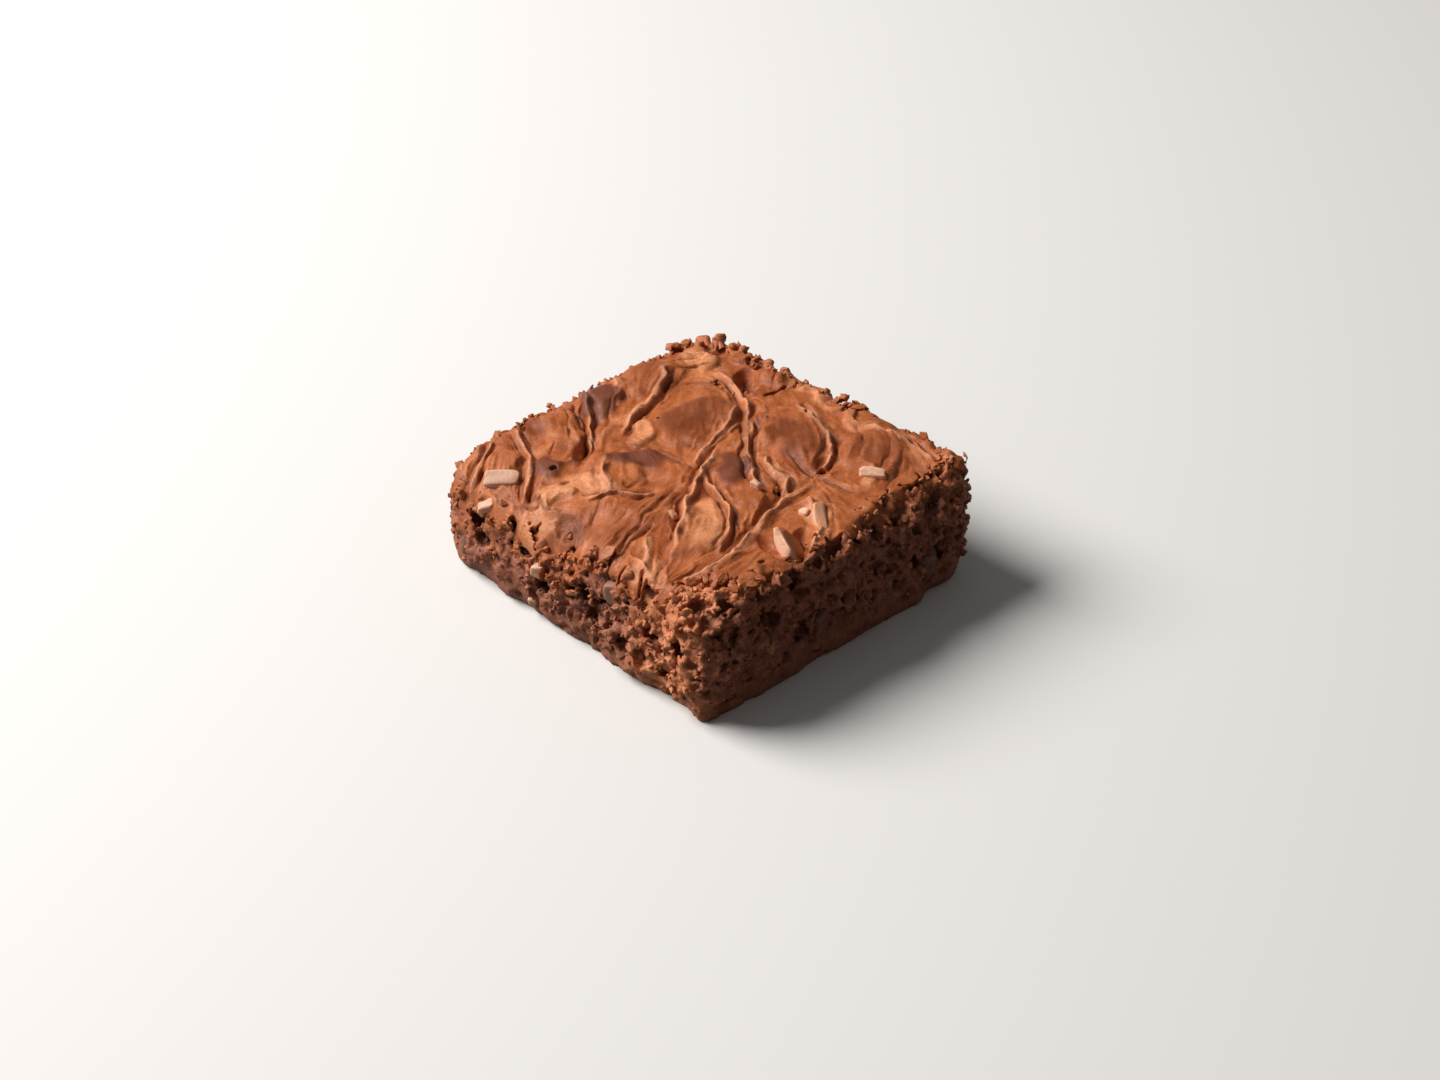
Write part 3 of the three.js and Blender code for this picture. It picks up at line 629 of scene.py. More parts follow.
def crease_line(path):
    """A smooth line through the points of a path."""
    p = np.array(path, float)
    ends = np.vstack([p[:1], p, p[-1:]])
    line = []
    for t in np.linspace(0, len(p) - 1, CREASE_STEPS + 1):
        i = min(int(t), len(p) - 2)
        w = t - i
        a, b, c, d = ends[i : i + 4]
        v0, v1 = (c - a) / 2, (d - b) / 2
        line.append((2 * b - 2 * c + v0 + v1) * w**3 + (-3 * b + 3 * c - 2 * v0 - v1) * w * w + v0 * w + b)
    return np.array(line)


def nearest_on(line, x, y):
    """Signed distance to a line, positive on its left, the share of the way along it, and its heading."""
    best = np.full(x.shape, np.inf)
    side = np.ones(x.shape)
    along = np.zeros(x.shape)
    heading = np.zeros(x.shape)
    for i in range(len(line) - 1):
        (ax, ay), (dx, dy) = line[i], line[i + 1] - line[i]
        t = clamp01(((x - ax) * dx + (y - ay) * dy) / (dx * dx + dy * dy))
        distance = np.hypot(x - ax - dx * t, y - ay - dy * t)
        closer = distance < best
        best = np.where(closer, distance, best)
        side = np.where(closer, np.where(dx * (y - ay) - dy * (x - ax) < 0, -1, 1), side)
        along = np.where(closer, (i + t) / (len(line) - 1), along)
        heading = np.where(closer, math.atan2(dy, dx), heading)
    return best * side, along, heading


def profile(form, s):
    """A ridge's or a groove's height across it."""
    round_share, sharp_share, narrowness = PROFILES[form]
    return round_share * bell(s) + sharp_share * cusp(narrowness * s)


def add_crease(maps, crease, x, y):
    """Adds one crease's height, the masks that tell its groove and its ridge, which put painted shade and a
    painted highlight into the crust's colour, and its pull on the flow.
    """
    form, width, height, path = crease
    distance, along, heading = nearest_on(crease_line(path), x, y)
    taper = 1 - (2 * along - 1) ** CREASE_TAPER
    s = distance / (CREASE_BREADTH * width * maps["breadth"])
    ridge, groove = {
        "ridge": (profile("ridge", s), 0 * s),
        "groove": (0 * s, profile("groove", s)),
        "fold": (
            skewed(s - FOLD["crest"], FOLD["gentle"], FOLD["steep"]),
            FOLD["hollow_depth"] * skewed(-s - FOLD["crest"], FOLD["hollow_gentle"], FOLD["steep"]),
        ),
        "pleat": (
            bell(s * PLEAT["narrowness"]),
            PLEAT["hollow_depth"] * cusp((np.abs(s) - PLEAT["hollow_at"]) * PLEAT["hollow_narrowness"]),
        ),
    }[form]
    maps["height"] += CREASE_SHARE * height * taper * maps["rise"] * (ridge - groove)
    maps["ridge"] = np.maximum(maps["ridge"], taper * ridge * min(1, height))
    maps["groove"] = np.maximum(maps["groove"], taper * groove * min(1, height * GROOVE_GAIN))
    maps["creased"] = np.maximum(maps["creased"], taper * bell(distance / CREASED_REACH) * min(1, width))
    pull = width / (FLOW_PULL["core"] + distance * distance) ** FLOW_PULL["power"]
    maps["flow_x"] += pull * np.cos(2 * heading)
    maps["flow_y"] += pull * np.sin(2 * heading)


def drawn_out(noise, maps, steps):
    """Noise drawn out along the creases' flow, so that it becomes wrinkles that run with them."""
    angle = np.arctan2(maps["flow_y"], maps["flow_x"]) / 2
    towards = np.stack([np.cos(angle), np.sin(angle)])
    total = noise.copy()
    for sign in (1, -1):
        place = np.stack(np.meshgrid(*[np.arange(n, dtype=float) for n in noise.shape], indexing="ij"))
        step = sign * towards
        for _ in range(steps):
            place += step
            i, j = (np.clip(np.rint(p), 0, n - 1).astype(int) for p, n in zip(place, noise.shape))
            turned = towards[:, i, j]
            step = turned * np.where((turned * step).sum(0) < 0, -1, 1)
            total += noise[i, j]
    return total / total.std()


def ellipse_share(at, half, turn, x, y):
    """From 1 around the middle of an ellipse down to 0 a little beyond its edge."""
    u, v = ellipse_axes(at, half, turn, x, y)
    return smooth(ELLIPSE_GAIN * (1 - (u * u + v * v) / ELLIPSE_REACH))


def ellipse_axes(at, half, turn, x, y):
    """Places as shares of an ellipse's half sizes, along its own two axes."""
    angle = math.radians(turn)
    dx, dy = x - at[0], y - at[1]
    u = (dx * math.cos(angle) + dy * math.sin(angle)) / half[0]
    v = (dy * math.cos(angle) - dx * math.sin(angle)) / half[1]
    return u, v


def crumbled(x, y):
    """From 0 to 1: how far the crust has crumbled away."""
    back = fading(from_back_corner(x, y), *CRUMBLED["back_corner"])
    front = fading(from_front_corner(x, y), *CRUMBLED["front_corner"])
    ending = smooth((CRUMBLED["back_edge_end"] - x) / CRUMBLED["back_edge_fade"])
    back_edge = fading(WIDTH / 2 - y, *CRUMBLED["back_edge"]) * ending
    rim = CRUMBLED["rim_share"] * fading(inset(x, y), *CRUMBLED["rim"])
    return clamp01(np.maximum(np.maximum(back, front), np.maximum(back_edge, rim)))


def rest_height(x, y):
    """The smooth height of the top, before any crease."""
    u = clamp01(x / LENGTH + 0.5)
    v = clamp01(y / WIDTH + 0.5)
    near = mix(HEIGHTS["left"], HEIGHTS["front"], u)
    far = mix(HEIGHTS["back"], HEIGHTS["right"], u)
    crown = CROWN * np.sin(np.pi * u) * np.sin(np.pi * v)
    k = smooth((x - SHOULDER["from"]) / SHOULDER["over"])
    drop = mix(SHOULDER["deep_drop"], SHOULDER["shallow_drop"], k)
    reach = mix(SHOULDER["deep_reach"], SHOULDER["shallow_reach"], k)
    over = 1 - clamp01((y + WIDTH / 2) / reach)
    rim = 1 - clamp01(inset(x, y) / EDGE_REACH)
    rolled = drop * (1 - np.sqrt(1 - over**2)) + EDGE_DROP * (1 - np.sqrt(1 - rim**2))
    return mix(near, far, v) + crown - rolled


def top_maps(x_axis, y_axis):
    """Everything about the top that depends on the place seen from above, on a grid."""
    x, y = np.meshgrid(x_axis, y_axis, indexing="ij")
    names = ("height", "ridge", "groove", "creased", "flow_x", "flow_y", "chip", "tone_and_painted_light", "puffed", "wrinkle_painted_light")
    maps = {name: np.zeros(x.shape) for name in names}
    maps["breadth"] = 1 + layered(x_axis, y_axis, BREADTH_WANDER)
    maps["rise"] = 1 + layered(x_axis, y_axis, RISE_WANDER)
    wander_x, wander_y = (layered(x_axis, y_axis, WANDER, shift) for shift in (0, 1))
    patch_x, patch_y = (PATCH_WANDER * wander for wander in (wander_x, wander_y))
    for crease in CREASES + FINE_CREASES:
        add_crease(maps, crease, x + wander_x, y + wander_y)
    for at, half, turn, rise in PUFFS:
        maps["puffed"] += PUFF_SHARE * rise * ellipse_share(at, half, turn, x + patch_x, y + patch_y)
    for at, size, turn in DRAPED_CHIPS:
        share = ellipse_share(at, (size[0] / 2, size[1] / 2), turn, x + patch_x, y + patch_y)
        maps["puffed"] += DRAPE_SHARE * size[2] * share
        maps["chip"] = np.maximum(maps["chip"], share)
    # The tones are partly the crust's own colour and partly painted highlight and painted shade.
    for at, half, turn, tone_and_painted_light in TONES_AND_PAINTED_LIGHT:
        maps["tone_and_painted_light"] += tone_and_painted_light * ellipse_share(at, half, turn, x + patch_x, y + patch_y)
    maps["puffed"] += layered(x_axis, y_axis, UNDULATIONS)
    shoulder = fading(y + WIDTH / 2, PUCKER_FROM, PUCKER_REACH - PUCKER_FROM)
    strength = WRINKLED["least"] + WRINKLED["more"] * np.maximum(maps["creased"], shoulder)
    strength = strength * (1 - WRINKLED["chip_loss"] * maps["chip"])
    for wrinkle in WRINKLES:
        noise = flat_noise(x_axis, y_axis, wrinkle["size"], wrinkle["seed"])
        lines = drawn_out(noise, maps, wrinkle["steps"])
        maps["wrinkle_painted_light"] += WRINKLE_PAINTED_LIGHT_SHARE * lines
        maps["height"] += strength * wrinkle["rise"] * lines
    pleats = drawn_out(flat_noise(x_axis, y_axis, PLEATS["size"], PLEATS["seed"]), maps, PLEATS["steps"])
    pleats = strength**2 * (bell(PLEATS["narrowness"] * pleats) - PLEATS["level"])
    maps["height"] += PLEATS["rise"] * pleats
    maps["ridge"] = np.maximum(maps["ridge"], PLEATS["ridge"] * pleats)
    maps["groove"] = np.maximum(maps["groove"], -PLEATS["groove"] * pleats)
    bare = crumbled(x, y)
    crumb = layered(x_axis, y_axis, CRUMB_RELIEF)
    hollow = sum(depth * ellipse_share(at, half, turn, x, y) for at, half, turn, depth in HOLLOWS)
    broad = rest_height(x, y) + maps["puffed"] * (1 - BARE_PUFF_LOSS * bare) - hollow
    maps["top"] = broad + maps["height"] * (1 - BARE_CREASE_LOSS * bare) + crumb * bare
    maps["inset"] = inset(x, y)
    calm = [share * ellipse_share(at, half, turn, x, y) for at, half, turn, share in CALM]
    maps["calm"] = np.max(calm, axis=0)
    maps["rim_left"], maps["crust_left"] = crust_reach(x, y, x_axis, y_axis, maps["calm"])
    thickness = mix(CRUST_THINNEST, CRUST_THICKEST, smooth(maps["crust_left"] / CRUST_FULL_AT))
    maps["under"] = np.minimum(broad - thickness, maps["top"] - CRUST_THINNEST)
    holes = [ellipse_share(at, [HOLE_SPREAD * h for h in half], turn, x, y) for at, half, turn in HOLES]
    maps["under"] -= HOLE_DEPTH * np.max(holes, axis=0)
    return maps


def crust_reach(x, y, x_axis, y_axis, calm):
    """How far inside its broken rim the crust lies, in millimetres, without its holes and with them."""
    back = from_back_corner(x, y) - RIM["back_corner"]
    front = from_front_corner(x, y) - RIM["front_corner"]
    slanted = RIM["back_edge_slant"] * (x - RIM["back_edge_end"])
    back_edge = np.maximum(WIDTH / 2 - y - RIM["back_edge"], slanted)
    further = smooth((y - RIM["right_edge_from"]) / RIM["right_edge_over"])
    right_edge = LENGTH / 2 - x - mix(RIM["right_edge_near"], RIM["right_edge_far"], further)
    ragged = layered(x_axis, y_axis, RAGGED)
    ragged *= 1 - RIM["calm_loss"] * calm
    rim = np.minimum(np.minimum(back, front), np.minimum(back_edge, right_edge))
    rim = rim + RIM["raggedness"] * ragged
    overhang = mix(RIM["overhang"], RIM["calm_overhang"], smooth(2 * calm))
    rim = np.minimum(rim, inset(x, y) + overhang + RIM["edge_raggedness"] * ragged)
    # The crack runs where a noise crosses nought, and closes up away from the rim.
    noise = flat_noise(x_axis, y_axis, CRACKS["size"], CRACKS["seed"])
    apart = np.abs(noise) * CRACKS["size"] / CRACKS["slope"]
    closed = smooth((rim - CRACKS["from"]) / CRACKS["reach"] + calm)
    crack = apart - CRACKS["half_width"] * (1 - closed) + CRACKS["closing"] * closed**3
    reach = np.minimum(rim, crack)
    for at, half, turn in HOLES:
        u, v = ellipse_axes(at, half, turn, x, y)
        reach = np.minimum(reach, (np.hypot(u, v) - 1) * min(half) + RIM["hole_raggedness"] * ragged)
    return rim, reach


def grid_axes(voxel, low_z=None):
    """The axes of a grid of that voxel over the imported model's box, with a border outside it."""
    low, high = (np.array(corner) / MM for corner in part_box("brownie"))
    if low_z is not None:
        low[2] = low_z
    border = 2 * voxel
    return [np.arange(a - border, b + border + voxel, voxel) for a, b in zip(low, high)]


def distance_below(surface, z, voxel):
    """Signed distance from a height map, negative under it."""
    gx, gy = np.gradient(surface, voxel)
    slope = np.sqrt(1 + np.minimum(gx * gx + gy * gy, STEEPEST_SQUARED))
    return ((z[None, None, :] - surface[:, :, None]) / slope[:, :, None]).astype(np.float32)


def stay_in_box(field, axes):
    """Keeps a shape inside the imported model's box."""
    low, high = (np.array(corner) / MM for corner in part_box("brownie"))
    for n, axis in enumerate(axes):
        shape = [1, 1, 1]
        shape[n] = len(axis)
        outside = np.maximum(low[n] - axis, axis - high[n]).reshape(shape).astype(np.float32)
        np.maximum(field, outside, out=field)


def pit_places():
    """The solid's air bubbles: centres and radii."""
    spacing, seed = PITS["spacing"], PITS["seed"]
    counts = [math.ceil(side / 2 / spacing) + 1 for side in (LENGTH, WIDTH)]
    ranges = [np.arange(-count, count) for count in counts] + [np.arange(*PITS["layers"])]
    cells = [cell.ravel() for cell in np.meshgrid(*ranges, indexing="ij")]
    kept = lattice(*cells, seed) <= 2 * PITS["share"] - 1
    cells = [cell[kept] for cell in cells]
    shifts = [PITS["jitter"] * lattice(*cells, seed + 1 + n) for n in range(3)]
    centres = np.stack([(cell + 0.5 + shift) * spacing for cell, shift in zip(cells, shifts)], axis=1)
    size = mix(PITS["smallest"], PITS["largest"], (lattice(*cells, seed + 4) + 1) / 2)
    return centres, size * smooth(centres[:, 2] / PITS["dense_base"])


def block_around(axes, centre, reach):
    """The part of a grid within reach of a place, as slices and as offsets from the place."""
    slices, offsets = [], []
    for axis, c in zip(axes, centre):
        first, last = np.searchsorted(axis, (c - reach, c + reach))
        slices.append(slice(first, last))
        offsets.append(axis[first:last] - c)
    dx, dy, dz = offsets
    return tuple(slices), dx[:, None, None], dy[None, :, None], dz[None, None, :]


def carve_ball(field, axes, centre, radius):
    place, dx, dy, dz = block_around(axes, centre, radius + MARGIN)
    ball = radius - np.sqrt(dx * dx + dy * dy + dz * dz)
    field[place] = np.maximum(field[place], ball)


def carve_caves(field, axes):
    for centre, half, turn in CAVES:
        place, away = ellipsoid_around(axes, centre, half, math.radians(turn))
        field[place] = np.maximum(field[place], -away)


def ellipsoid_around(axes, centre, half, turn):
    """The grid around an ellipsoid turned about the vertical, and about how far from it each place is."""
    place, dx, dy, dz = block_around(axes, centre, max(half) + MARGIN)
    c, s = math.cos(turn), math.sin(turn)
    u = (dx * c + dy * s) / half[0]
    v = (dy * c - dx * s) / half[1]
    w = dz / half[2]
    return place, (np.sqrt(u * u + v * v + w * w) - 1) * min(half)


def add_lump(field, axes, centre, size, shape, turn):
    """Joins an ellipsoid with half sizes of that size times its shape, turned about the vertical."""
    place, away = ellipsoid_around(axes, centre, [size * share for share in shape], turn)
    field[place] = np.minimum(field[place], away)


def rim_crumbs():
    """The solid's crumbs along the rim of the top: place, full size and turn."""
    found = []
    for n in range(RIM_CRUMBS["count"]):
        draws = [(float(lattice(n, k, 0, RIM_CRUMBS["seed"])[0]) + 1) / 2 for k in range(1, 5)]
        along, inwards, larger, turned = draws
        angle = 2 * math.pi * (n + RIM_CRUMBS["spread"] * along) / RIM_CRUMBS["count"]
        reach = 1 / max(2 * abs(math.cos(angle)) / LENGTH, 2 * abs(math.sin(angle)) / WIDTH)
        x, y = math.cos(angle) * reach, math.sin(angle) * reach
        pull = RIM_CRUMBS["least_pull"] + RIM_CRUMBS["more_pull"] * inwards + max(0.0, -float(inset(x, y)))
        size = mix(RIM_CRUMBS["smallest"], RIM_CRUMBS["largest"], larger)
        step = 0.05
        gx = float(inset(x + step, y) - inset(x - step, y)) / (2 * step)
        gy = float(inset(x, y + step) - inset(x, y - step)) / (2 * step)
        found.append(((x + gx * pull, y + gy * pull), size, math.pi * turned))
    return found


def surface_places(field, axes, share, seed, weight):
    """Places spread at random over a surface: share is how many to a square millimetre."""
    voxel = axes[0][1] - axes[0][0]
    near = np.argwhere(np.abs(field) < voxel / 2)
    points = np.stack([axis[near[:, n]] for n, axis in enumerate(axes)], axis=1)
    draw = np.random.default_rng(seed).random((len(points), 5))
    chosen = draw[:, 0] < share * voxel * voxel * weight(points)
    jitter = (draw[chosen, 1:4] - 0.5) * voxel
    return points[chosen] + jitter, draw[chosen, 4]


def clump_relief(points, size, level, slant, seam, seed):
    """What the clump that a place lies in adds to the crumb's depth there."""
    low = np.floor(points.min(0) / size).astype(int) - 1
    count = np.floor(points.max(0) / size).astype(int) + 2 - low
    grid = np.meshgrid(*[np.arange(n) for n in count], indexing="ij")
    cells = np.stack([cell.ravel() for cell in grid], axis=1) + low
    draws = np.stack([lattice(*cells.T, seed + n) for n in range(7)], axis=1).astype(np.float32)
    centres = ((cells + 0.5 + CLUMP_JITTER * draws[:, 0:3]) * size).astype(np.float32)
    home = np.floor(points / size).astype(int) - low
    nearest = np.full(len(points), np.inf, np.float32)
    second = nearest.copy()
    relief = np.zeros(len(points), np.float32)
    for step in np.ndindex(3, 3, 3):
        cell = home + np.array(step) - 1
        index = (cell[:, 0] * count[1] + cell[:, 1]) * count[2] + cell[:, 2]
        away = points - centres[index]
        distance = np.sqrt((away * away).sum(1))
        own = level * draws[index, 3] + slant * (away * draws[index, 4:7]).sum(1)
        closer = distance < nearest
        second = np.where(closer, nearest, np.minimum(second, distance))
        nearest = np.where(closer, distance, nearest)
        relief = np.where(closer, own, relief)
    return relief + seam * (1 - smooth((second - nearest) / (SEAM_BREADTH * size)))


def crumb_openness(axes, maps):
    """How open and grainy the crumb is at a place, from 0 under the crust to 1 high on the walls."""

    def openness(points):
        top = sample(maps["top"], axes[:2], points)
        left = sample(maps["crust_left"], axes[:2], points)
        calm = sample(maps["calm"], axes[:2], points)
        near_top = smooth((points[:, 2] - top + UNDER_CRUST["below"]) / UNDER_CRUST["over"])
        (rate_x, start_x), (rate_y, start_y) = DENSE_WAVES
        wave_x = np.sin(rate_x * points[:, 0] + start_x)
        wave_y = np.sin(rate_y * points[:, 1] + start_y)
        dense = fading(points[:, 2] + DENSE_SWELL * wave_x * wave_y, *DENSE_HEIGHT)
        under_crust = near_top * smooth(left - UNDER_CRUST["inside"])
        return mix(1, DENSE_OPENNESS, dense) * (1 - calm) * (1 - under_crust)

    return openness


def crumb_field(axes, maps):
    """The crumb: the block's walls and top, torn, pitted and grained."""
    x_axis, y_axis, z_axis = axes
    voxel = x_axis[1] - x_axis[0]
    z = z_axis[None, None, :]
    top = maps["top"][:, :, None]
    covered = smooth(maps["crust_left"] / COVERED["over"] + COVERED["shift"])
    lid = distance_below(mix(maps["top"], maps["under"], covered), z_axis, voxel)

    swell = WALL_SWELL * np.sin(np.pi * clamp01(z / top))
    tuck = BASE_TUCK * (1 - clamp01(z / BASE_TUCK_HEIGHT)) ** 2
    crag = CRAG["depth"] * grid_noise(axes, CRAG["size"], CRAG["seed"])
    fine = FINE_CRAG["depth"] * grid_noise(axes, FINE_CRAG["size"], FINE_CRAG["seed"])
    crag += fine * smooth(z / FINE_CRAG["fade_height"] + FINE_CRAG["base_share"])
    undercut = UNDERCUT["depth"] * covered * (1 - smooth(2 * maps["calm"]))
    under = undercut[:, :, None] * bell((top - z - UNDERCUT["below"]) / UNDERCUT["height"])
    wall = -maps["inset"][:, :, None] - swell + tuck - crag + under
    field = np.maximum(wall, lid).astype(np.float32)
    smooth_field = field.copy()

    open_wall = crumb_openness(axes, maps)
    shape, sunk = RIM_CRUMBS["shape"], RIM_CRUMBS["sunk"]
    crumbs = [(at, size, shape, -sunk * size, turn) for at, size, turn in rim_crumbs()]
    crumbs += [(at, half, PEAK_SHAPE, above, sum(at)) for at, half, above in PEAKS]
    for (x, y), size, shape, above, turn in crumbs:
        height = maps["top"][np.searchsorted(x_axis, x), np.searchsorted(y_axis, y)]
        add_lump(field, axes, (x, y, height + above), size, shape, turn)
    for centre, radius in zip(*pit_places()):
        if radius > SMALLEST_PIT:
            carve_ball(field, axes, centre, PIT_SHARE * radius)
    carve_caves(field, axes)
    points, draws = surface_places(field, axes, LUMPS["share"], LUMPS["seed"], open_wall)
    for point, draw in zip(points, draws):
        size = mix(LUMPS["smallest"], LUMPS["largest"], draw ** LUMPS["rarity"])
        add_lump(field, axes, point, size, LUMPS["shape"], draw * LUMPS["turn"])
    near = np.nonzero(np.abs(field) < CLUMP_REACH)
    points = np.stack([axis[found] for axis, found in zip(axes, near)], axis=1).astype(np.float32)
    strength = open_wall(points)
    bared = strength > LEAST_OPENNESS
    near = tuple(found[bared] for found in near)
    for clump in CLUMPS:
        field[near] += (strength[bared] * clump_relief(points[bared], **clump)).astype(np.float32)
    points, draws = surface_places(field, axes, BUBBLES["share"], BUBBLES["seed"], open_wall)
    for point, draw in zip(points, draws):
        radius = mix(BUBBLES["smallest"], BUBBLES["largest"], draw ** BUBBLES["rarity"])
        carve_ball(field, axes, point, radius)
    np.maximum(field, -z_axis[None, None, :].astype(np.float32), out=field)
    return field, smooth_field


def crust_field(axes, maps):
    """The crust: a thin shell along the top, with a ragged edge."""
    x_axis, _, z_axis = axes
    voxel = x_axis[1] - x_axis[0]
    outer = distance_below(maps["top"], z_axis, voxel)
    inner = -distance_below(maps["under"] - voxel, z_axis, voxel)
    fray = CRUST_FRAY["amount"] * grid_noise(axes, CRUST_FRAY["size"], CRUST_FRAY["seed"])
    edge = -maps["crust_left"][:, :, None].astype(np.float32) + fray
    field = np.maximum(np.maximum(outer, inner), edge)
    carve_caves(field, axes)
    return field


def worthy_parts(points, faces, fewest):
    """Drops loose scraps: keeps connected parts of that many points or more, or with None the largest."""
    labels = np.arange(len(points))
    pairs = np.concatenate([faces[:, [a, b]] for a, b in ((0, 1), (1, 2), (2, 3), (3, 0))])
    while True:
        lowest = np.minimum(labels[pairs[:, 0]], labels[pairs[:, 1]])
        spread = labels.copy()
        np.minimum.at(spread, pairs[:, 0], lowest)
        np.minimum.at(spread, pairs[:, 1], lowest)
        spread = spread[spread]
        if np.array_equal(spread, labels):
            break
        labels = spread
    counts = np.bincount(labels, minlength=len(points))
    kept = labels == counts.argmax() if fewest is None else counts[labels] >= fewest
    new_index = np.cumsum(kept) - 1
    return points[kept], new_index[faces[kept[faces[:, 0]]]]


def mesh_from_field(name, field, axes, fewest=None):
    """The surface where a field crosses zero, as a mesh of quads in metres."""
    voxel = float(axes[0][1] - axes[0][0])
    band = 3 * voxel
    grid = openvdb.FloatGrid(band)
    grid.copyFromArray(np.clip(field, -band, band))
    points, _, quads = grid.convertToPolygons(isovalue=0.0, adaptivity=0.0)
    points, quads = worthy_parts(points, quads.astype(np.int64), fewest)
    places = (points * voxel + np.array([axis[0] for axis in axes])) * MM
    return quick_mesh(name, places, quads)


def quick_mesh(name, points, faces):
    """A mesh object from arrays, its faces all with the same number of corners."""
    mesh = bpy.data.meshes.new(name)
    corners = faces.shape[1]
    mesh.vertices.add(len(points))
    mesh.vertices.foreach_set("co", points.astype(np.float32).ravel())
    mesh.loops.add(faces.size)
    mesh.loops.foreach_set("vertex_index", faces.astype(np.int32).ravel())
    mesh.polygons.add(len(faces))
    mesh.polygons.foreach_set("loop_start", np.arange(len(faces), dtype=np.int32) * corners)
    mesh.update(calc_edges=True)
    return linked(name, mesh)


def linked(name, mesh):
    piece = bpy.data.objects.new(name, mesh)
    bpy.context.scene.collection.objects.link(piece)
    return piece


def applied(piece):
    """Makes the result of a piece's modifiers its plain mesh."""
    result = bpy.data.meshes.new_from_object(piece.evaluated_get(bpy.context.evaluated_depsgraph_get()))
    piece.modifiers.clear()
    piece.data = result
    result.name = piece.name
    return piece


def thin_out(piece):
    """Brings a mesh of quads down to no more than MOST_TRIANGLES triangles."""
    ratio = MOST_TRIANGLES / (2 * len(piece.data.polygons))
    if ratio >= 1:
        return piece
    decimate = piece.modifiers.new("thin out", "DECIMATE")
    decimate.ratio = ratio
    decimate.use_collapse_triangulate = True
    return applied(piece)


def smooth_shaded(piece):
    piece.data.polygons.foreach_set("use_smooth", np.ones(len(piece.data.polygons), bool))
    piece.data.update()
    return piece


def vertex_places(piece):
    """A piece's vertices in millimetres."""
    places = np.zeros(len(piece.data.vertices) * 3, np.float32)
    piece.data.vertices.foreach_get("co", places)
    return places.reshape(-1, 3) / MM


def paint(piece, name, values):
    """Stores one number for each vertex under a name that a material reads."""
    attribute = piece.data.attributes.new(name, "FLOAT", "POINT")
    attribute.data.foreach_set("value", np.asarray(values, np.float32))


def sample(values, axes, points):
    """Values of a grid at any places, by straight interpolation."""
    total = 0
    corners = []
    for n, axis in enumerate(axes):
        place = np.clip((points[:, n] - axis[0]) / (axis[1] - axis[0]), 0, len(axis) - 1.001)
        low = place.astype(int)
        corners.append(((low, 1 - (place - low)), (low + 1, place - low)))
    for pick in np.ndindex(*([2] * len(axes))):
        chosen = [corners[n][k] for n, k in enumerate(pick)]
        weight = np.prod([w for _, w in chosen], axis=0)
        total = total + values[tuple(i for i, _ in chosen)] * weight
    return total


def coarser(maps, axes, new_axes):
    """The maps on another grid."""
    places = np.stack([p.ravel() for p in np.meshgrid(*new_axes[:2], indexing="ij")], axis=1)
    shape = [len(axis) for axis in new_axes[:2]]
    return {name: sample(maps[name], axes[:2], places).reshape(shape) for name in maps}


def make_crust(axes, maps):
    field = crust_field(axes, maps)
    stay_in_box(field, axes)
    piece = smooth_shaded(thin_out(mesh_from_field("crust", field, axes, FEWEST_POINTS)))
    places = vertex_places(piece)
    # The groove, ridge and wrinkle masks paint shade and highlight into the colour; the tone is partly the
    # crust's own colour and partly painted light.
    for name in ("groove", "ridge", "chip", "tone_and_painted_light", "wrinkle_painted_light"):
        paint(piece, name, sample(maps[name], axes[:2], places))
    left = sample(maps["rim_left"], axes[:2], places)
    paint(piece, "edge", 1 - smooth(left / EDGE_FADE))
    above = places[:, 2] - sample(maps["top"], axes[:2], places)
    outside = smooth(above / OUTER_SIDE["over"] + OUTER_SIDE["shift"])
    calm = sample(maps["calm"], axes[:2], places)
    paint(piece, "scatter", outside * (1 - calm) ** 2 * fading(left, *LOOSE_RIM) ** 2)
    return piece


def make_crumb(axes, maps):
    field, smooth_field = crumb_field(axes, maps)
    stay_in_box(field, axes)
    piece = smooth_shaded(thin_out(mesh_from_field("crumb", field, axes)))
    places = vertex_places(piece)
    below_top = sample(maps["top"], axes[:2], places) - places[:, 2]
    # Painted light: paler crumb on the lit side of the front corner, kept off the shaded right wall.
    painted_front_light = fading(from_front_corner(places[:, 0], places[:, 1]), *PAINTED_FRONT_LIGHT_REACH)
    shaded_right_wall = smooth((places[:, 0] - LENGTH / 2 + SHADED_RIGHT_WALL["from"]) / SHADED_RIGHT_WALL["over"])
    # Painted shade: most of the browned tint is taken off the right wall, which lies in shade.
    browned = fading(below_top, *BROWNED_DEPTH) * (1 - SHADED_RIGHT_WALL["painted_shade_share"] * shaded_right_wall)
    loose = smooth((places[:, 2] - LOOSE_ABOVE) / LOOSE_ABOVE)
    # Painted shade: the deeper the crumb lies under its smooth surface, the darker it is painted.
    paint(piece, "depth", clamp01(-sample(smooth_field, axes, places) / HOLLOW_SHADE_DEPTH))
    paint(piece, "browned", browned)
    paint(piece, "painted_front_light", painted_front_light * (1 - shaded_right_wall))
    paint(piece, "dense", fading(places[:, 2], *DENSE_LOOK))
    paint(piece, "scatter", crumb_openness(axes, maps)(places) * loose)
    return piece


def link(tree, start, end):
    tree.links.new(start, end)


def add(tree, kind, inputs=None, **settings):
    """Adds a node, with its settings, and its inputs as numbers or as sockets to link."""
    made = tree.nodes.new(kind)
    for name, value in settings.items():
        setattr(made, name, value)
    for name, value in (inputs or {}).items():
        feed(tree, made.inputs[name], value)
    return made


def feed(tree, socket, value):
    if isinstance(value, bpy.types.NodeSocket):
        link(tree, value, socket)
    else:
        socket.default_value = value


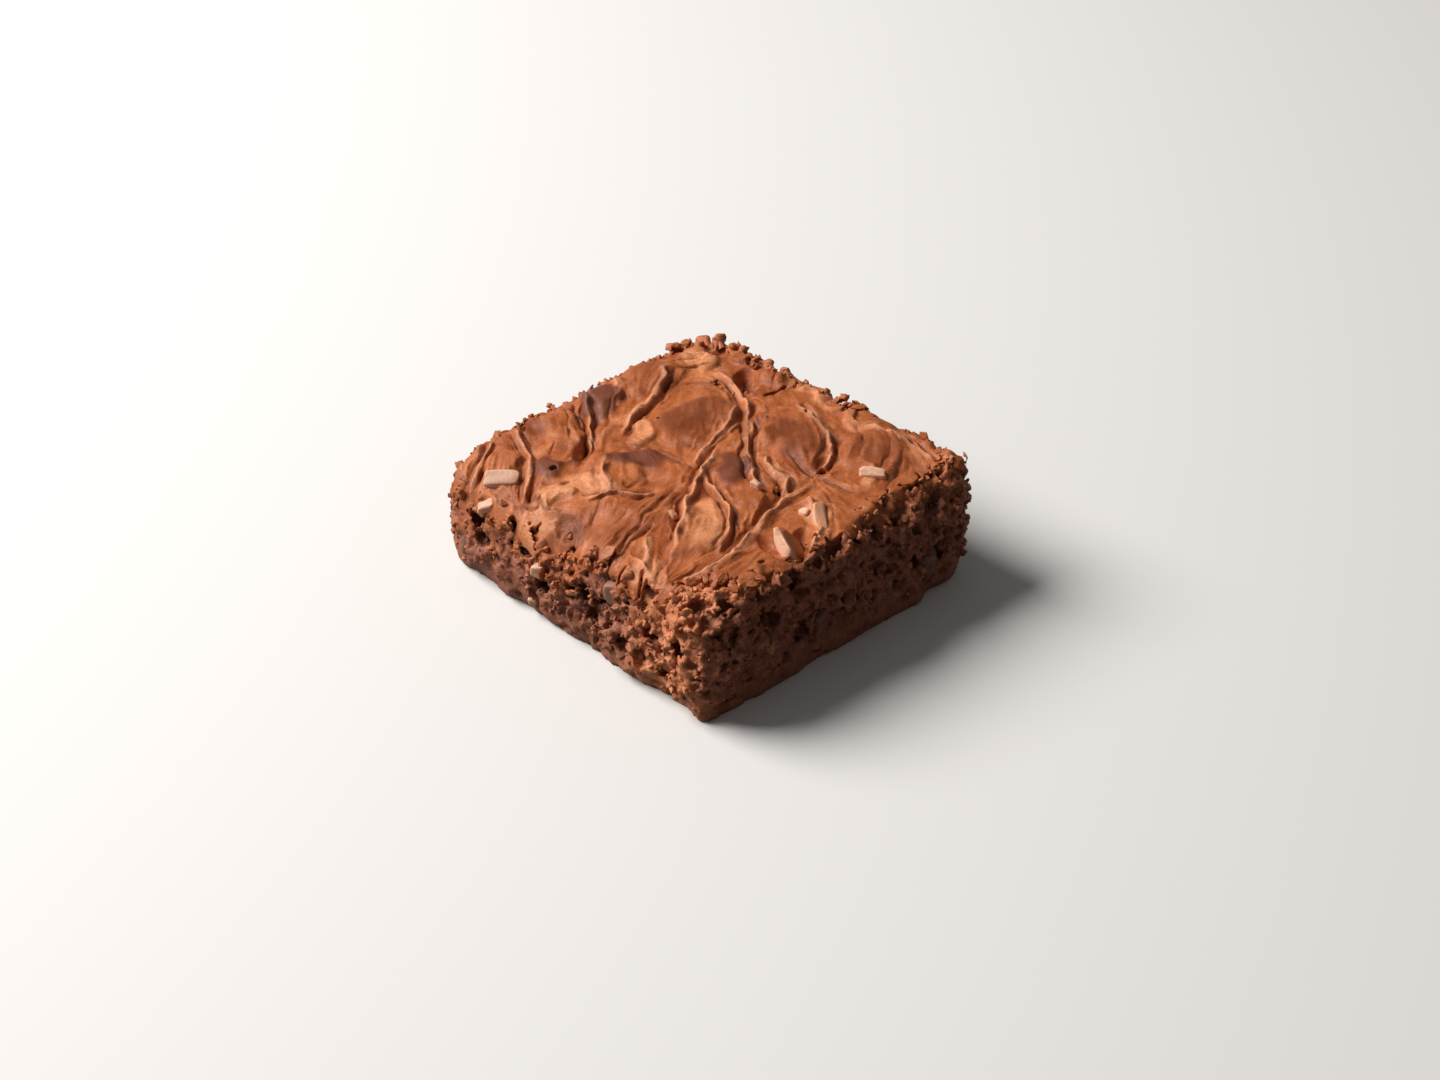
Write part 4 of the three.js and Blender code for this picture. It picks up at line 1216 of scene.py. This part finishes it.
def maths(tree, operation, a, b=0.0):
    made = add(tree, "ShaderNodeMath", operation=operation)
    feed(tree, made.inputs[0], a)
    feed(tree, made.inputs[1], b)
    return made.outputs[0]


def scaled(tree, vector, by):
    """A vector times a number or a number field."""
    made = add(tree, "ShaderNodeVectorMath", operation="SCALE")
    feed(tree, made.inputs["Vector"], vector)
    feed(tree, made.inputs["Scale"], by)
    return made.outputs[0]


def drawn(tree, low, high, seed):
    """A random number for each crumb."""
    made = add(tree, "FunctionNodeRandomValue", data_type="FLOAT")
    feed(tree, made.inputs[2], low)
    feed(tree, made.inputs[3], high)
    feed(tree, made.inputs["Seed"], seed)
    return made.outputs[1]


def stored(tree, name, kind="FLOAT"):
    """A named attribute as a field."""
    return add(tree, "GeometryNodeInputNamedAttribute", {"Name": name}, data_type=kind).outputs["Attribute"]


def tilted(tree, tilt, seed):
    """A random angle, both ways up to that tilt."""
    return maths(tree, "MULTIPLY", drawn(tree, -1.0, 1.0, seed), tilt)


def moved(tree, geometry, offset):
    made = add(tree, "GeometryNodeSetPosition", {"Geometry": geometry, "Offset": offset})
    return made.outputs["Geometry"]


def scatter_tree():
    """Crumbs or flakes over a surface, more where its scatter is higher, each of its own shape."""
    tree = bpy.data.node_groups.new("scattered crumbs", "GeometryNodeTree")
    numbers = ("Count to a square metre", "Smallest", "Largest", "Flatness", "Lift", "Tilt", "Unevenness")
    kinds = {"Geometry": "Geometry", **dict.fromkeys(numbers, "Float"), "Seed": "Int", "Finish": "Material"}
    for name, kind in kinds.items():
        tree.interface.new_socket(name, in_out="INPUT", socket_type="NodeSocket" + kind)
    tree.interface.new_socket("Geometry", in_out="OUTPUT", socket_type="NodeSocketGeometry")
    given = tree.nodes.new("NodeGroupInput").outputs
    result = tree.nodes.new("NodeGroupOutput").inputs["Geometry"]

    density = maths(tree, "MULTIPLY", stored(tree, "scatter"), given["Count to a square metre"])
    points = add(
        tree,
        "GeometryNodeDistributePointsOnFaces",
        {"Mesh": given["Geometry"], "Density": density, "Seed": given["Seed"]},
        distribute_method="RANDOM",
    )
    # Small ones are far more common than large ones.
    rare = maths(tree, "POWER", drawn(tree, 0.0, 1.0, given["Seed"]), RARITY)
    span = maths(tree, "SUBTRACT", given["Largest"], given["Smallest"])
    size = maths(tree, "ADD", given["Smallest"], maths(tree, "MULTIPLY", rare, span))
    geometry = points.outputs["Points"]
    for name, kind, value in (
        ("size", "FLOAT", size),
        ("tint", "FLOAT", drawn(tree, 0.0, 1.0, 5)),
        ("up", "FLOAT_VECTOR", points.outputs["Normal"]),
    ):
        inputs = {"Geometry": geometry, "Name": name, "Value": value}
        kept = add(tree, "GeometryNodeStoreNamedAttribute", inputs, data_type=kind, domain="POINT")
        geometry = kept.outputs["Geometry"]
    size = stored(tree, "size")
    up = stored(tree, "up", "FLOAT_VECTOR")
    lifted = moved(tree, geometry, scaled(tree, up, maths(tree, "MULTIPLY", size, given["Lift"])))

    ball = add(tree, "GeometryNodeMeshIcoSphere", {"Radius": 0.5, "Subdivisions": 1})
    long, short = (drawn(tree, *limits, seed) for limits, seed in zip(STRETCHES, (6, 7)))
    stretch = add(tree, "ShaderNodeCombineXYZ", {"X": long, "Y": short, "Z": given["Flatness"]})
    tilt_x, tilt_y = (tilted(tree, given["Tilt"], seed) for seed in (8, 9))
    turn = drawn(tree, 0.0, FULL_TURN, 10)
    spin = add(tree, "ShaderNodeCombineXYZ", {"X": tilt_x, "Y": tilt_y, "Z": turn})
    upright = add(tree, "FunctionNodeAlignRotationToVector", {"Vector": up}, axis="Z")
    turned = add(
        tree,
        "FunctionNodeRotateRotation",
        {"Rotation": upright.outputs["Rotation"], "Rotate By": spin.outputs["Vector"]},
        rotation_space="LOCAL",
    )
    placed = add(
        tree,
        "GeometryNodeInstanceOnPoints",
        {
            "Points": lifted,
            "Instance": ball.outputs["Mesh"],
            "Rotation": turned.outputs["Rotation"],
            "Scale": scaled(tree, stretch.outputs["Vector"], size),
        },
    )
    real = add(tree, "GeometryNodeRealizeInstances", {"Geometry": placed.outputs["Instances"]})
    wobble = add(tree, "ShaderNodeTexNoise", {"Scale": WOBBLES_TO_A_METRE, "Detail": 1.0})
    inputs = {0: wobble.outputs["Color"], 1: (0.5, 0.5, 0.5)}
    centred = add(tree, "ShaderNodeVectorMath", inputs, operation="SUBTRACT")
    offset = scaled(tree, centred.outputs[0], maths(tree, "MULTIPLY", size, given["Unevenness"]))
    uneven = moved(tree, real.outputs["Geometry"], offset)
    finished = add(tree, "GeometryNodeSetMaterial", {"Geometry": uneven, "Material": given["Finish"]})
    link(tree, finished.outputs["Geometry"], result)
    return tree


def scattered(name, tree, surface, finish):
    """A piece of crumbs or flakes over a surface."""
    piece = linked(name, surface.data.copy())
    modifier = piece.modifiers.new("scatter", "NODES")
    modifier.node_group = tree
    inputs = {item.name: item.identifier for item in tree.interface.items_tree if item.in_out == "INPUT"}
    modifier[inputs["Finish"]] = finish
    for label, value in SCATTERED[name].items():
        modifier[inputs[label]] = value
    return applied(piece)


def new_material(name):
    material = bpy.data.materials.new(name)
    material.use_nodes = True
    material.node_tree.nodes.clear()
    return material, material.node_tree


def mixed(tree, factor, a, b):
    made = add(tree, "ShaderNodeMix", data_type="RGBA")
    for socket, value in zip((made.inputs[0], made.inputs[6], made.inputs[7]), (factor, a, b)):
        feed(tree, socket, value)
    return made.outputs[2]


def ranged(tree, value, low, high, to_low=0.0, to_high=1.0):
    inputs = {"Value": value, "From Min": low, "From Max": high, "To Min": to_low, "To Max": to_high}
    return add(tree, "ShaderNodeMapRange", inputs).outputs["Result"]


def attribute(tree, name):
    return add(tree, "ShaderNodeAttribute", attribute_name=name).outputs["Fac"]


def colour(red, green, blue):
    """A colour given as it looks on screen, from 0 to 255."""
    shares = [c / 255 for c in (red, green, blue)]
    return (*[((share + 0.055) / 1.055) ** 2.4 for share in shares], 1)


def coloured(tree, base, layers, values):
    """Lays colours over a base one after another, each where a value or a named attribute says."""
    for source, none, most, share, shown in layers:
        value = values[source] if source in values else attribute(tree, source)
        base = mixed(tree, ranged(tree, value, none, most, 0.0, share), base, colour(*shown))
    return base


def grain_group():
    """Shared by all three finishes: a coarse mottle, a fine grain and small pores, as values."""
    tree = bpy.data.node_groups.new("baked grain", "ShaderNodeTree")
    tree.interface.new_socket("Place", in_out="INPUT", socket_type="NodeSocketVector")
    for name, size in (("Mottle size", 4.0), ("Grain size", 0.5)):
        tree.interface.new_socket(name, in_out="INPUT", socket_type="NodeSocketFloat").default_value = size
    for name in ("Mottle", "Grain", "Pores"):
        tree.interface.new_socket(name, in_out="OUTPUT", socket_type="NodeSocketFloat")
    inside = tree.nodes.new("NodeGroupInput")
    outside = tree.nodes.new("NodeGroupOutput")
    # Scales are cells to a metre, sizes are millimetres.
    mottle_scale = maths(tree, "DIVIDE", 1000.0, inside.outputs["Mottle size"])
    grain_scale = maths(tree, "DIVIDE", 1000.0, inside.outputs["Grain size"])
    place = inside.outputs["Place"]
    noises = (("Mottle", mottle_scale, 4.0, 0.6), ("Grain", grain_scale, 3.0, 0.65))
    for name, scale, detail, roughness in noises:
        inputs = {"Vector": place, "Scale": scale, "Detail": detail, "Roughness": roughness}
        noise = add(tree, "ShaderNodeTexNoise", inputs)
        link(tree, noise.outputs["Fac"], outside.inputs[name])
    pores = add(tree, "ShaderNodeTexVoronoi", {"Vector": place, "Scale": grain_scale, "Randomness": 1.0})
    link(tree, ranged(tree, pores.outputs["Distance"], 0.12, 0.3), outside.inputs["Pores"])
    return tree


def add_grain(tree, group, mottle_size, grain_size):
    place = add(tree, "ShaderNodeTexCoord").outputs["Object"]
    made = add(tree, "ShaderNodeGroup", node_tree=group)
    link(tree, place, made.inputs["Place"])
    made.inputs["Mottle size"].default_value = mottle_size
    made.inputs["Grain size"].default_value = grain_size
    return made.outputs["Mottle"], made.outputs["Grain"], made.outputs["Pores"]


def grainy(tree, grain, pores):
    """The height that the fine grain and the pores give a surface."""
    fine = maths(tree, "MULTIPLY", grain, GRAIN_SHARE)
    return maths(tree, "ADD", fine, maths(tree, "MULTIPLY", pores, PORE_SHARE))


def finish_surface(tree, base, roughness, height, strength, distance, specular):
    """The shader, with a bump of that height, strength and distance in metres."""
    bump = add(tree, "ShaderNodeBump", {"Height": height, "Strength": strength, "Distance": distance})
    inputs = {"Base Color": base, "Roughness": roughness, "Normal": bump.outputs["Normal"]}
    shader = add(tree, "ShaderNodeBsdfPrincipled", inputs)
    shader.inputs["Specular IOR Level"].default_value = specular
    output = add(tree, "ShaderNodeOutputMaterial")
    link(tree, shader.outputs["BSDF"], output.inputs["Surface"])


def crust_finish(group):
    """Thin satin crust: orange-brown, darker over chips, with painted shade in its creases and wrinkle
    hollows, and a painted highlight on its ridges and wrinkle crests.
    """
    material, tree = new_material("crust")
    mottle, grain, pores = add_grain(tree, group, mottle_size=7.0, grain_size=0.5)
    patches, _, _ = add_grain(tree, group, mottle_size=2.8, grain_size=0.9)
    base = mixed(tree, ranged(tree, mottle, 0.35, 0.65), colour(158, 80, 36), colour(192, 106, 52))
    base = coloured(tree, base, CRUST_LAYERS, {"patches": patches, "grain": grain})
    rough = ranged(tree, grain, 0.3, 0.7, 0.46, 0.66)
    glossier = ranged(tree, attribute(tree, "chip"), 0.3, 0.7, 0.0, 0.1)
    roughness = maths(tree, "SUBTRACT", rough, glossier)
    height = grainy(tree, grain, pores)
    finish_surface(tree, base, roughness, height, strength=0.6, distance=GRAIN_RELIEF, specular=0.3)
    return material


def crumb_finish(group):
    """Matt moist crumb: red-brown, with painted shade in its hollows, browned to orange near the top except
    on the shaded right wall, and with painted light on the front corner's lit side.
    """
    material, tree = new_material("crumb")
    mottle, grain, pores = add_grain(tree, group, mottle_size=1.9, grain_size=0.4)
    patches, _, _ = add_grain(tree, group, mottle_size=5.0, grain_size=0.9)
    base = mixed(tree, ranged(tree, mottle, 0.36, 0.64), colour(118, 60, 38), colour(186, 114, 82))
    base = coloured(tree, base, CRUMB_LAYERS, {"patches": patches, "grain": grain})
    roughness = ranged(tree, grain, 0.3, 0.7, 0.5, 0.75)
    height = grainy(tree, grain, pores)
    finish_surface(tree, base, roughness, height, strength=0.7, distance=GRAIN_RELIEF, specular=0.4)
    return material


def chocolate_finish(group):
    """Soft gloss of chocolate that has melted and set, with a pale bloom, which on the palest chips is a
    painted highlight.
    """
    material, tree = new_material("chocolate")
    mottle, grain, _ = add_grain(tree, group, mottle_size=1.8, grain_size=0.6)
    base = mixed(tree, ranged(tree, mottle, 0.4, 0.7), colour(96, 56, 44), colour(140, 92, 72))
    # A pale bloom, which on the palest chips is a painted highlight.
    base = mixed(tree, attribute(tree, "bloom_and_painted_highlight"), base, colour(240, 188, 156))
    base = mixed(tree, ranged(tree, mottle, 0.56, 0.72, 0.0, 0.45), base, colour(176, 112, 80))
    base = mixed(tree, attribute(tree, "covered"), base, colour(184, 108, 66))
    roughness = ranged(tree, mottle, 0.3, 0.7, 0.42, 0.62)
    finish_surface(tree, base, roughness, grain, strength=0.6, distance=CHOCOLATE_RELIEF, specular=0.35)
    return material


def slope_at(maps, axes, x, y):
    """How steeply the top rises around a place, towards +X and towards +Y."""
    around = [[x + SLOPE_STEP, y], [x - SLOPE_STEP, y], [x, y + SLOPE_STEP], [x, y - SLOPE_STEP]]
    heights = sample(maps["top"], axes[:2], np.array(around))
    rise = np.array([heights[0] - heights[1], heights[2] - heights[3]]) / (2 * SLOPE_STEP)
    return np.clip(rise, -STEEPEST, STEEPEST)


def turned_by(points, degrees, first, second):
    """Points turned in the plane of two of their axes."""
    c, s = math.cos(math.radians(degrees)), math.sin(math.radians(degrees))
    turned = points.copy()
    turned[:, first] = points[:, first] * c - points[:, second] * s
    turned[:, second] = points[:, first] * s + points[:, second] * c
    return turned


def chip_mesh(size, turn, roll, centre, slope, seed):
    """A broken chunk with rounded edges and flat faces: its points, its triangles, its unscaled points."""
    ball = bpy.data.meshes.new("ball")
    made = bmesh.new()
    bmesh.ops.create_icosphere(made, subdivisions=CHIP_DIVISIONS, radius=0.5)
    made.to_mesh(ball)
    made.free()
    points = np.array([v.co for v in ball.vertices])
    # From a ball towards a block.
    points = 0.5 * np.sign(points) * np.abs(2 * points) ** CHIP_SQUARENESS
    faces = np.array([list(p.vertices) for p in ball.polygons])
    bpy.data.meshes.remove(ball)
    draw = np.random.default_rng(seed)
    for _ in range(CHIP_CUTS["count"]):
        way = draw.normal(size=3)
        way /= np.linalg.norm(way)
        past = points @ way - draw.uniform(CHIP_CUTS["nearest"], CHIP_CUTS["farthest"])
        # Nearly flat past the cut, so that its edge stays rounded.
        points = points - np.outer(np.where(past > 0, CHIP_CUTS["flatness"] * past, 0), way)
    waves = [np.sin(points @ np.array(way) + seed * CHIP_WAVES["shift"]) for way in CHIP_WAVES["ways"]]
    plain = points * (1 + CHIP_WAVES["share"] * sum(waves)[:, None])
    points = turned_by(plain * np.array(size) * CHIP_SWELL, -roll, 1, 2)
    points = turned_by(points, turn, 0, 1)
    points[:, 2] += points[:, :2] @ slope
    return points + np.array(centre), faces, plain


def make_chips(axes, maps):
    """The chips that the crust or a cut face lays bare."""
    lumps = []
    level = np.zeros(2)
    for (x, y), size, turn, paleness, above, cover, roll in TOP_CHIPS:
        height = float(sample(maps["top"], axes[:2], np.array([[x, y]]))[0])
        slope = slope_at(maps, axes, x, y)
        lumps.append((size, turn, roll, (x, y, height + above), slope, paleness, cover))
    for along, up, size, paleness, out in LEFT_CHIPS:
        centre = (along, -WIDTH / 2 - out + size[1] / 2, up)
        lumps.append((size, WALL_CHIP_TURN, 0, centre, level, paleness, 0))
    for along, up, size, paleness, out in RIGHT_CHIPS:
        centre = (LENGTH / 2 + out - size[0] / 2, along, up)
        lumps.append((size, WALL_CHIP_TURN, 0, centre, level, paleness, 0))
    points, faces, bloom_and_painted_highlight, covered = [], [], [], []
    for n, (size, turn, roll, centre, slope, paleness, cover) in enumerate(lumps):
        p, f, plain = chip_mesh(size, turn, roll, centre, slope, n)
        faces.append(f + sum(len(q) for q in points))
        points.append(p)
        bloom_and_painted_highlight.append(np.full(len(p), paleness))
        # Crust clings to the top, and leaves the long side bare.
        cling = CLINGING["up"] * plain[:, 2] + CLINGING["sideways"] * plain[:, 1] - CLINGING["from"]
        covered.append(cover * smooth(cling / CLINGING["over"]))
    piece = smooth_shaded(quick_mesh("chips", np.concatenate(points) * MM, np.concatenate(faces)))
    paint(piece, "bloom_and_painted_highlight", np.concatenate(bloom_and_painted_highlight))
    paint(piece, "covered", np.concatenate(covered))
    return piece


def dress(piece, material):
    piece.data.materials.clear()
    piece.data.materials.append(material)
    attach(piece, "root")


def make_floor():
    """A plain pale floor, which throws back less light than it shows, so that faces in shade stay dark."""
    mesh = bpy.data.meshes.new("floor")
    half = FLOOR["half"]
    corners = [(-half, -half, 0), (half, -half, 0), (half, half, 0), (-half, half, 0)]
    mesh.from_pydata(corners, [], [(0, 1, 2, 3)])
    floor = linked("floor", mesh)
    material, tree = new_material("floor")
    seen = add(tree, "ShaderNodeBsdfDiffuse", {"Color": FLOOR["seen"]})
    thrown = add(tree, "ShaderNodeBsdfDiffuse", {"Color": FLOOR["thrown"]})
    path = add(tree, "ShaderNodeLightPath")
    both = add(tree, "ShaderNodeMixShader", {"Fac": path.outputs["Is Diffuse Ray"]})
    link(tree, seen.outputs[0], both.inputs[1])
    link(tree, thrown.outputs[0], both.inputs[2])
    link(tree, both.outputs[0], add(tree, "ShaderNodeOutputMaterial").inputs["Surface"])
    mesh.materials.append(material)


def direction(azimuth, elevation):
    """Unit vector towards something at that azimuth and elevation, azimuth 0 being towards -Y."""
    a, e = math.radians(azimuth), math.radians(elevation)
    return Vector((math.sin(a) * math.cos(e), -math.cos(a) * math.cos(e), math.sin(e)))


def make_camera():
    data = bpy.data.cameras.new("camera")
    camera = linked("camera", data)
    back = direction(CAMERA["azimuth"], CAMERA["elevation"])
    camera.location = (Vector(CAMERA["target"]) + back * CAMERA["distance"]) * MM
    camera.rotation_euler = back.to_track_quat("Z", "Y").to_euler()
    data.lens = CAMERA["lens"]
    data.sensor_width = 36
    data.clip_start = 0.01
    data.clip_end = 20
    bpy.context.scene.camera = camera


def make_light(name, azimuth, elevation, distance, size, power, tint):
    data = bpy.data.lights.new(name, "AREA")
    data.shape = "DISK"
    data.size = size
    data.energy = power
    data.color = tint
    light = linked(name, data)
    towards = direction(azimuth, elevation)
    light.location = towards * distance
    light.rotation_euler = towards.to_track_quat("Z", "Y").to_euler()


def make_world():
    world = bpy.data.worlds.new("studio")
    world.use_nodes = True
    background = world.node_tree.nodes["Background"]
    for name, value in SKY.items():
        background.inputs[name].default_value = value
    bpy.context.scene.world = world
    bpy.context.scene.view_settings.view_transform = "Standard"


make_camera()
make_floor()
make_world()
make_light("key", **KEY_LIGHT)

crust_axes = grid_axes(CRUST_VOXEL, CRUST_LOWEST)
crumb_axes = grid_axes(CRUMB_VOXEL)
maps = top_maps(*crust_axes[:2])
crumb_maps = coarser(maps, crust_axes, crumb_axes)

grain = grain_group()
crumb_material = crumb_finish(grain)
crust_material = crust_finish(grain)
crumb = make_crumb(crumb_axes, crumb_maps)
crust = make_crust(crust_axes, maps)
chips = make_chips(crust_axes, maps)

tree = scatter_tree()
wall_crumbs = scattered("wall_crumbs", tree, crumb, crumb_material)
edge_crumbs = scattered("edge_crumbs", tree, crust, crumb_material)
crust_flakes = scattered("crust_flakes", tree, crust, crust_material)
paint(edge_crumbs, "browned", np.ones(len(edge_crumbs.data.vertices)))
for piece in (crumb, wall_crumbs, edge_crumbs):
    dress(piece, crumb_material)
for piece in (crust, crust_flakes):
    dress(piece, crust_material)
dress(chips, chocolate_finish(grain))
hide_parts("brownie")
for piece in (crumb, crust, chips, wall_crumbs, edge_crumbs, crust_flakes):
    print(piece.name, len(piece.data.polygons), "faces")
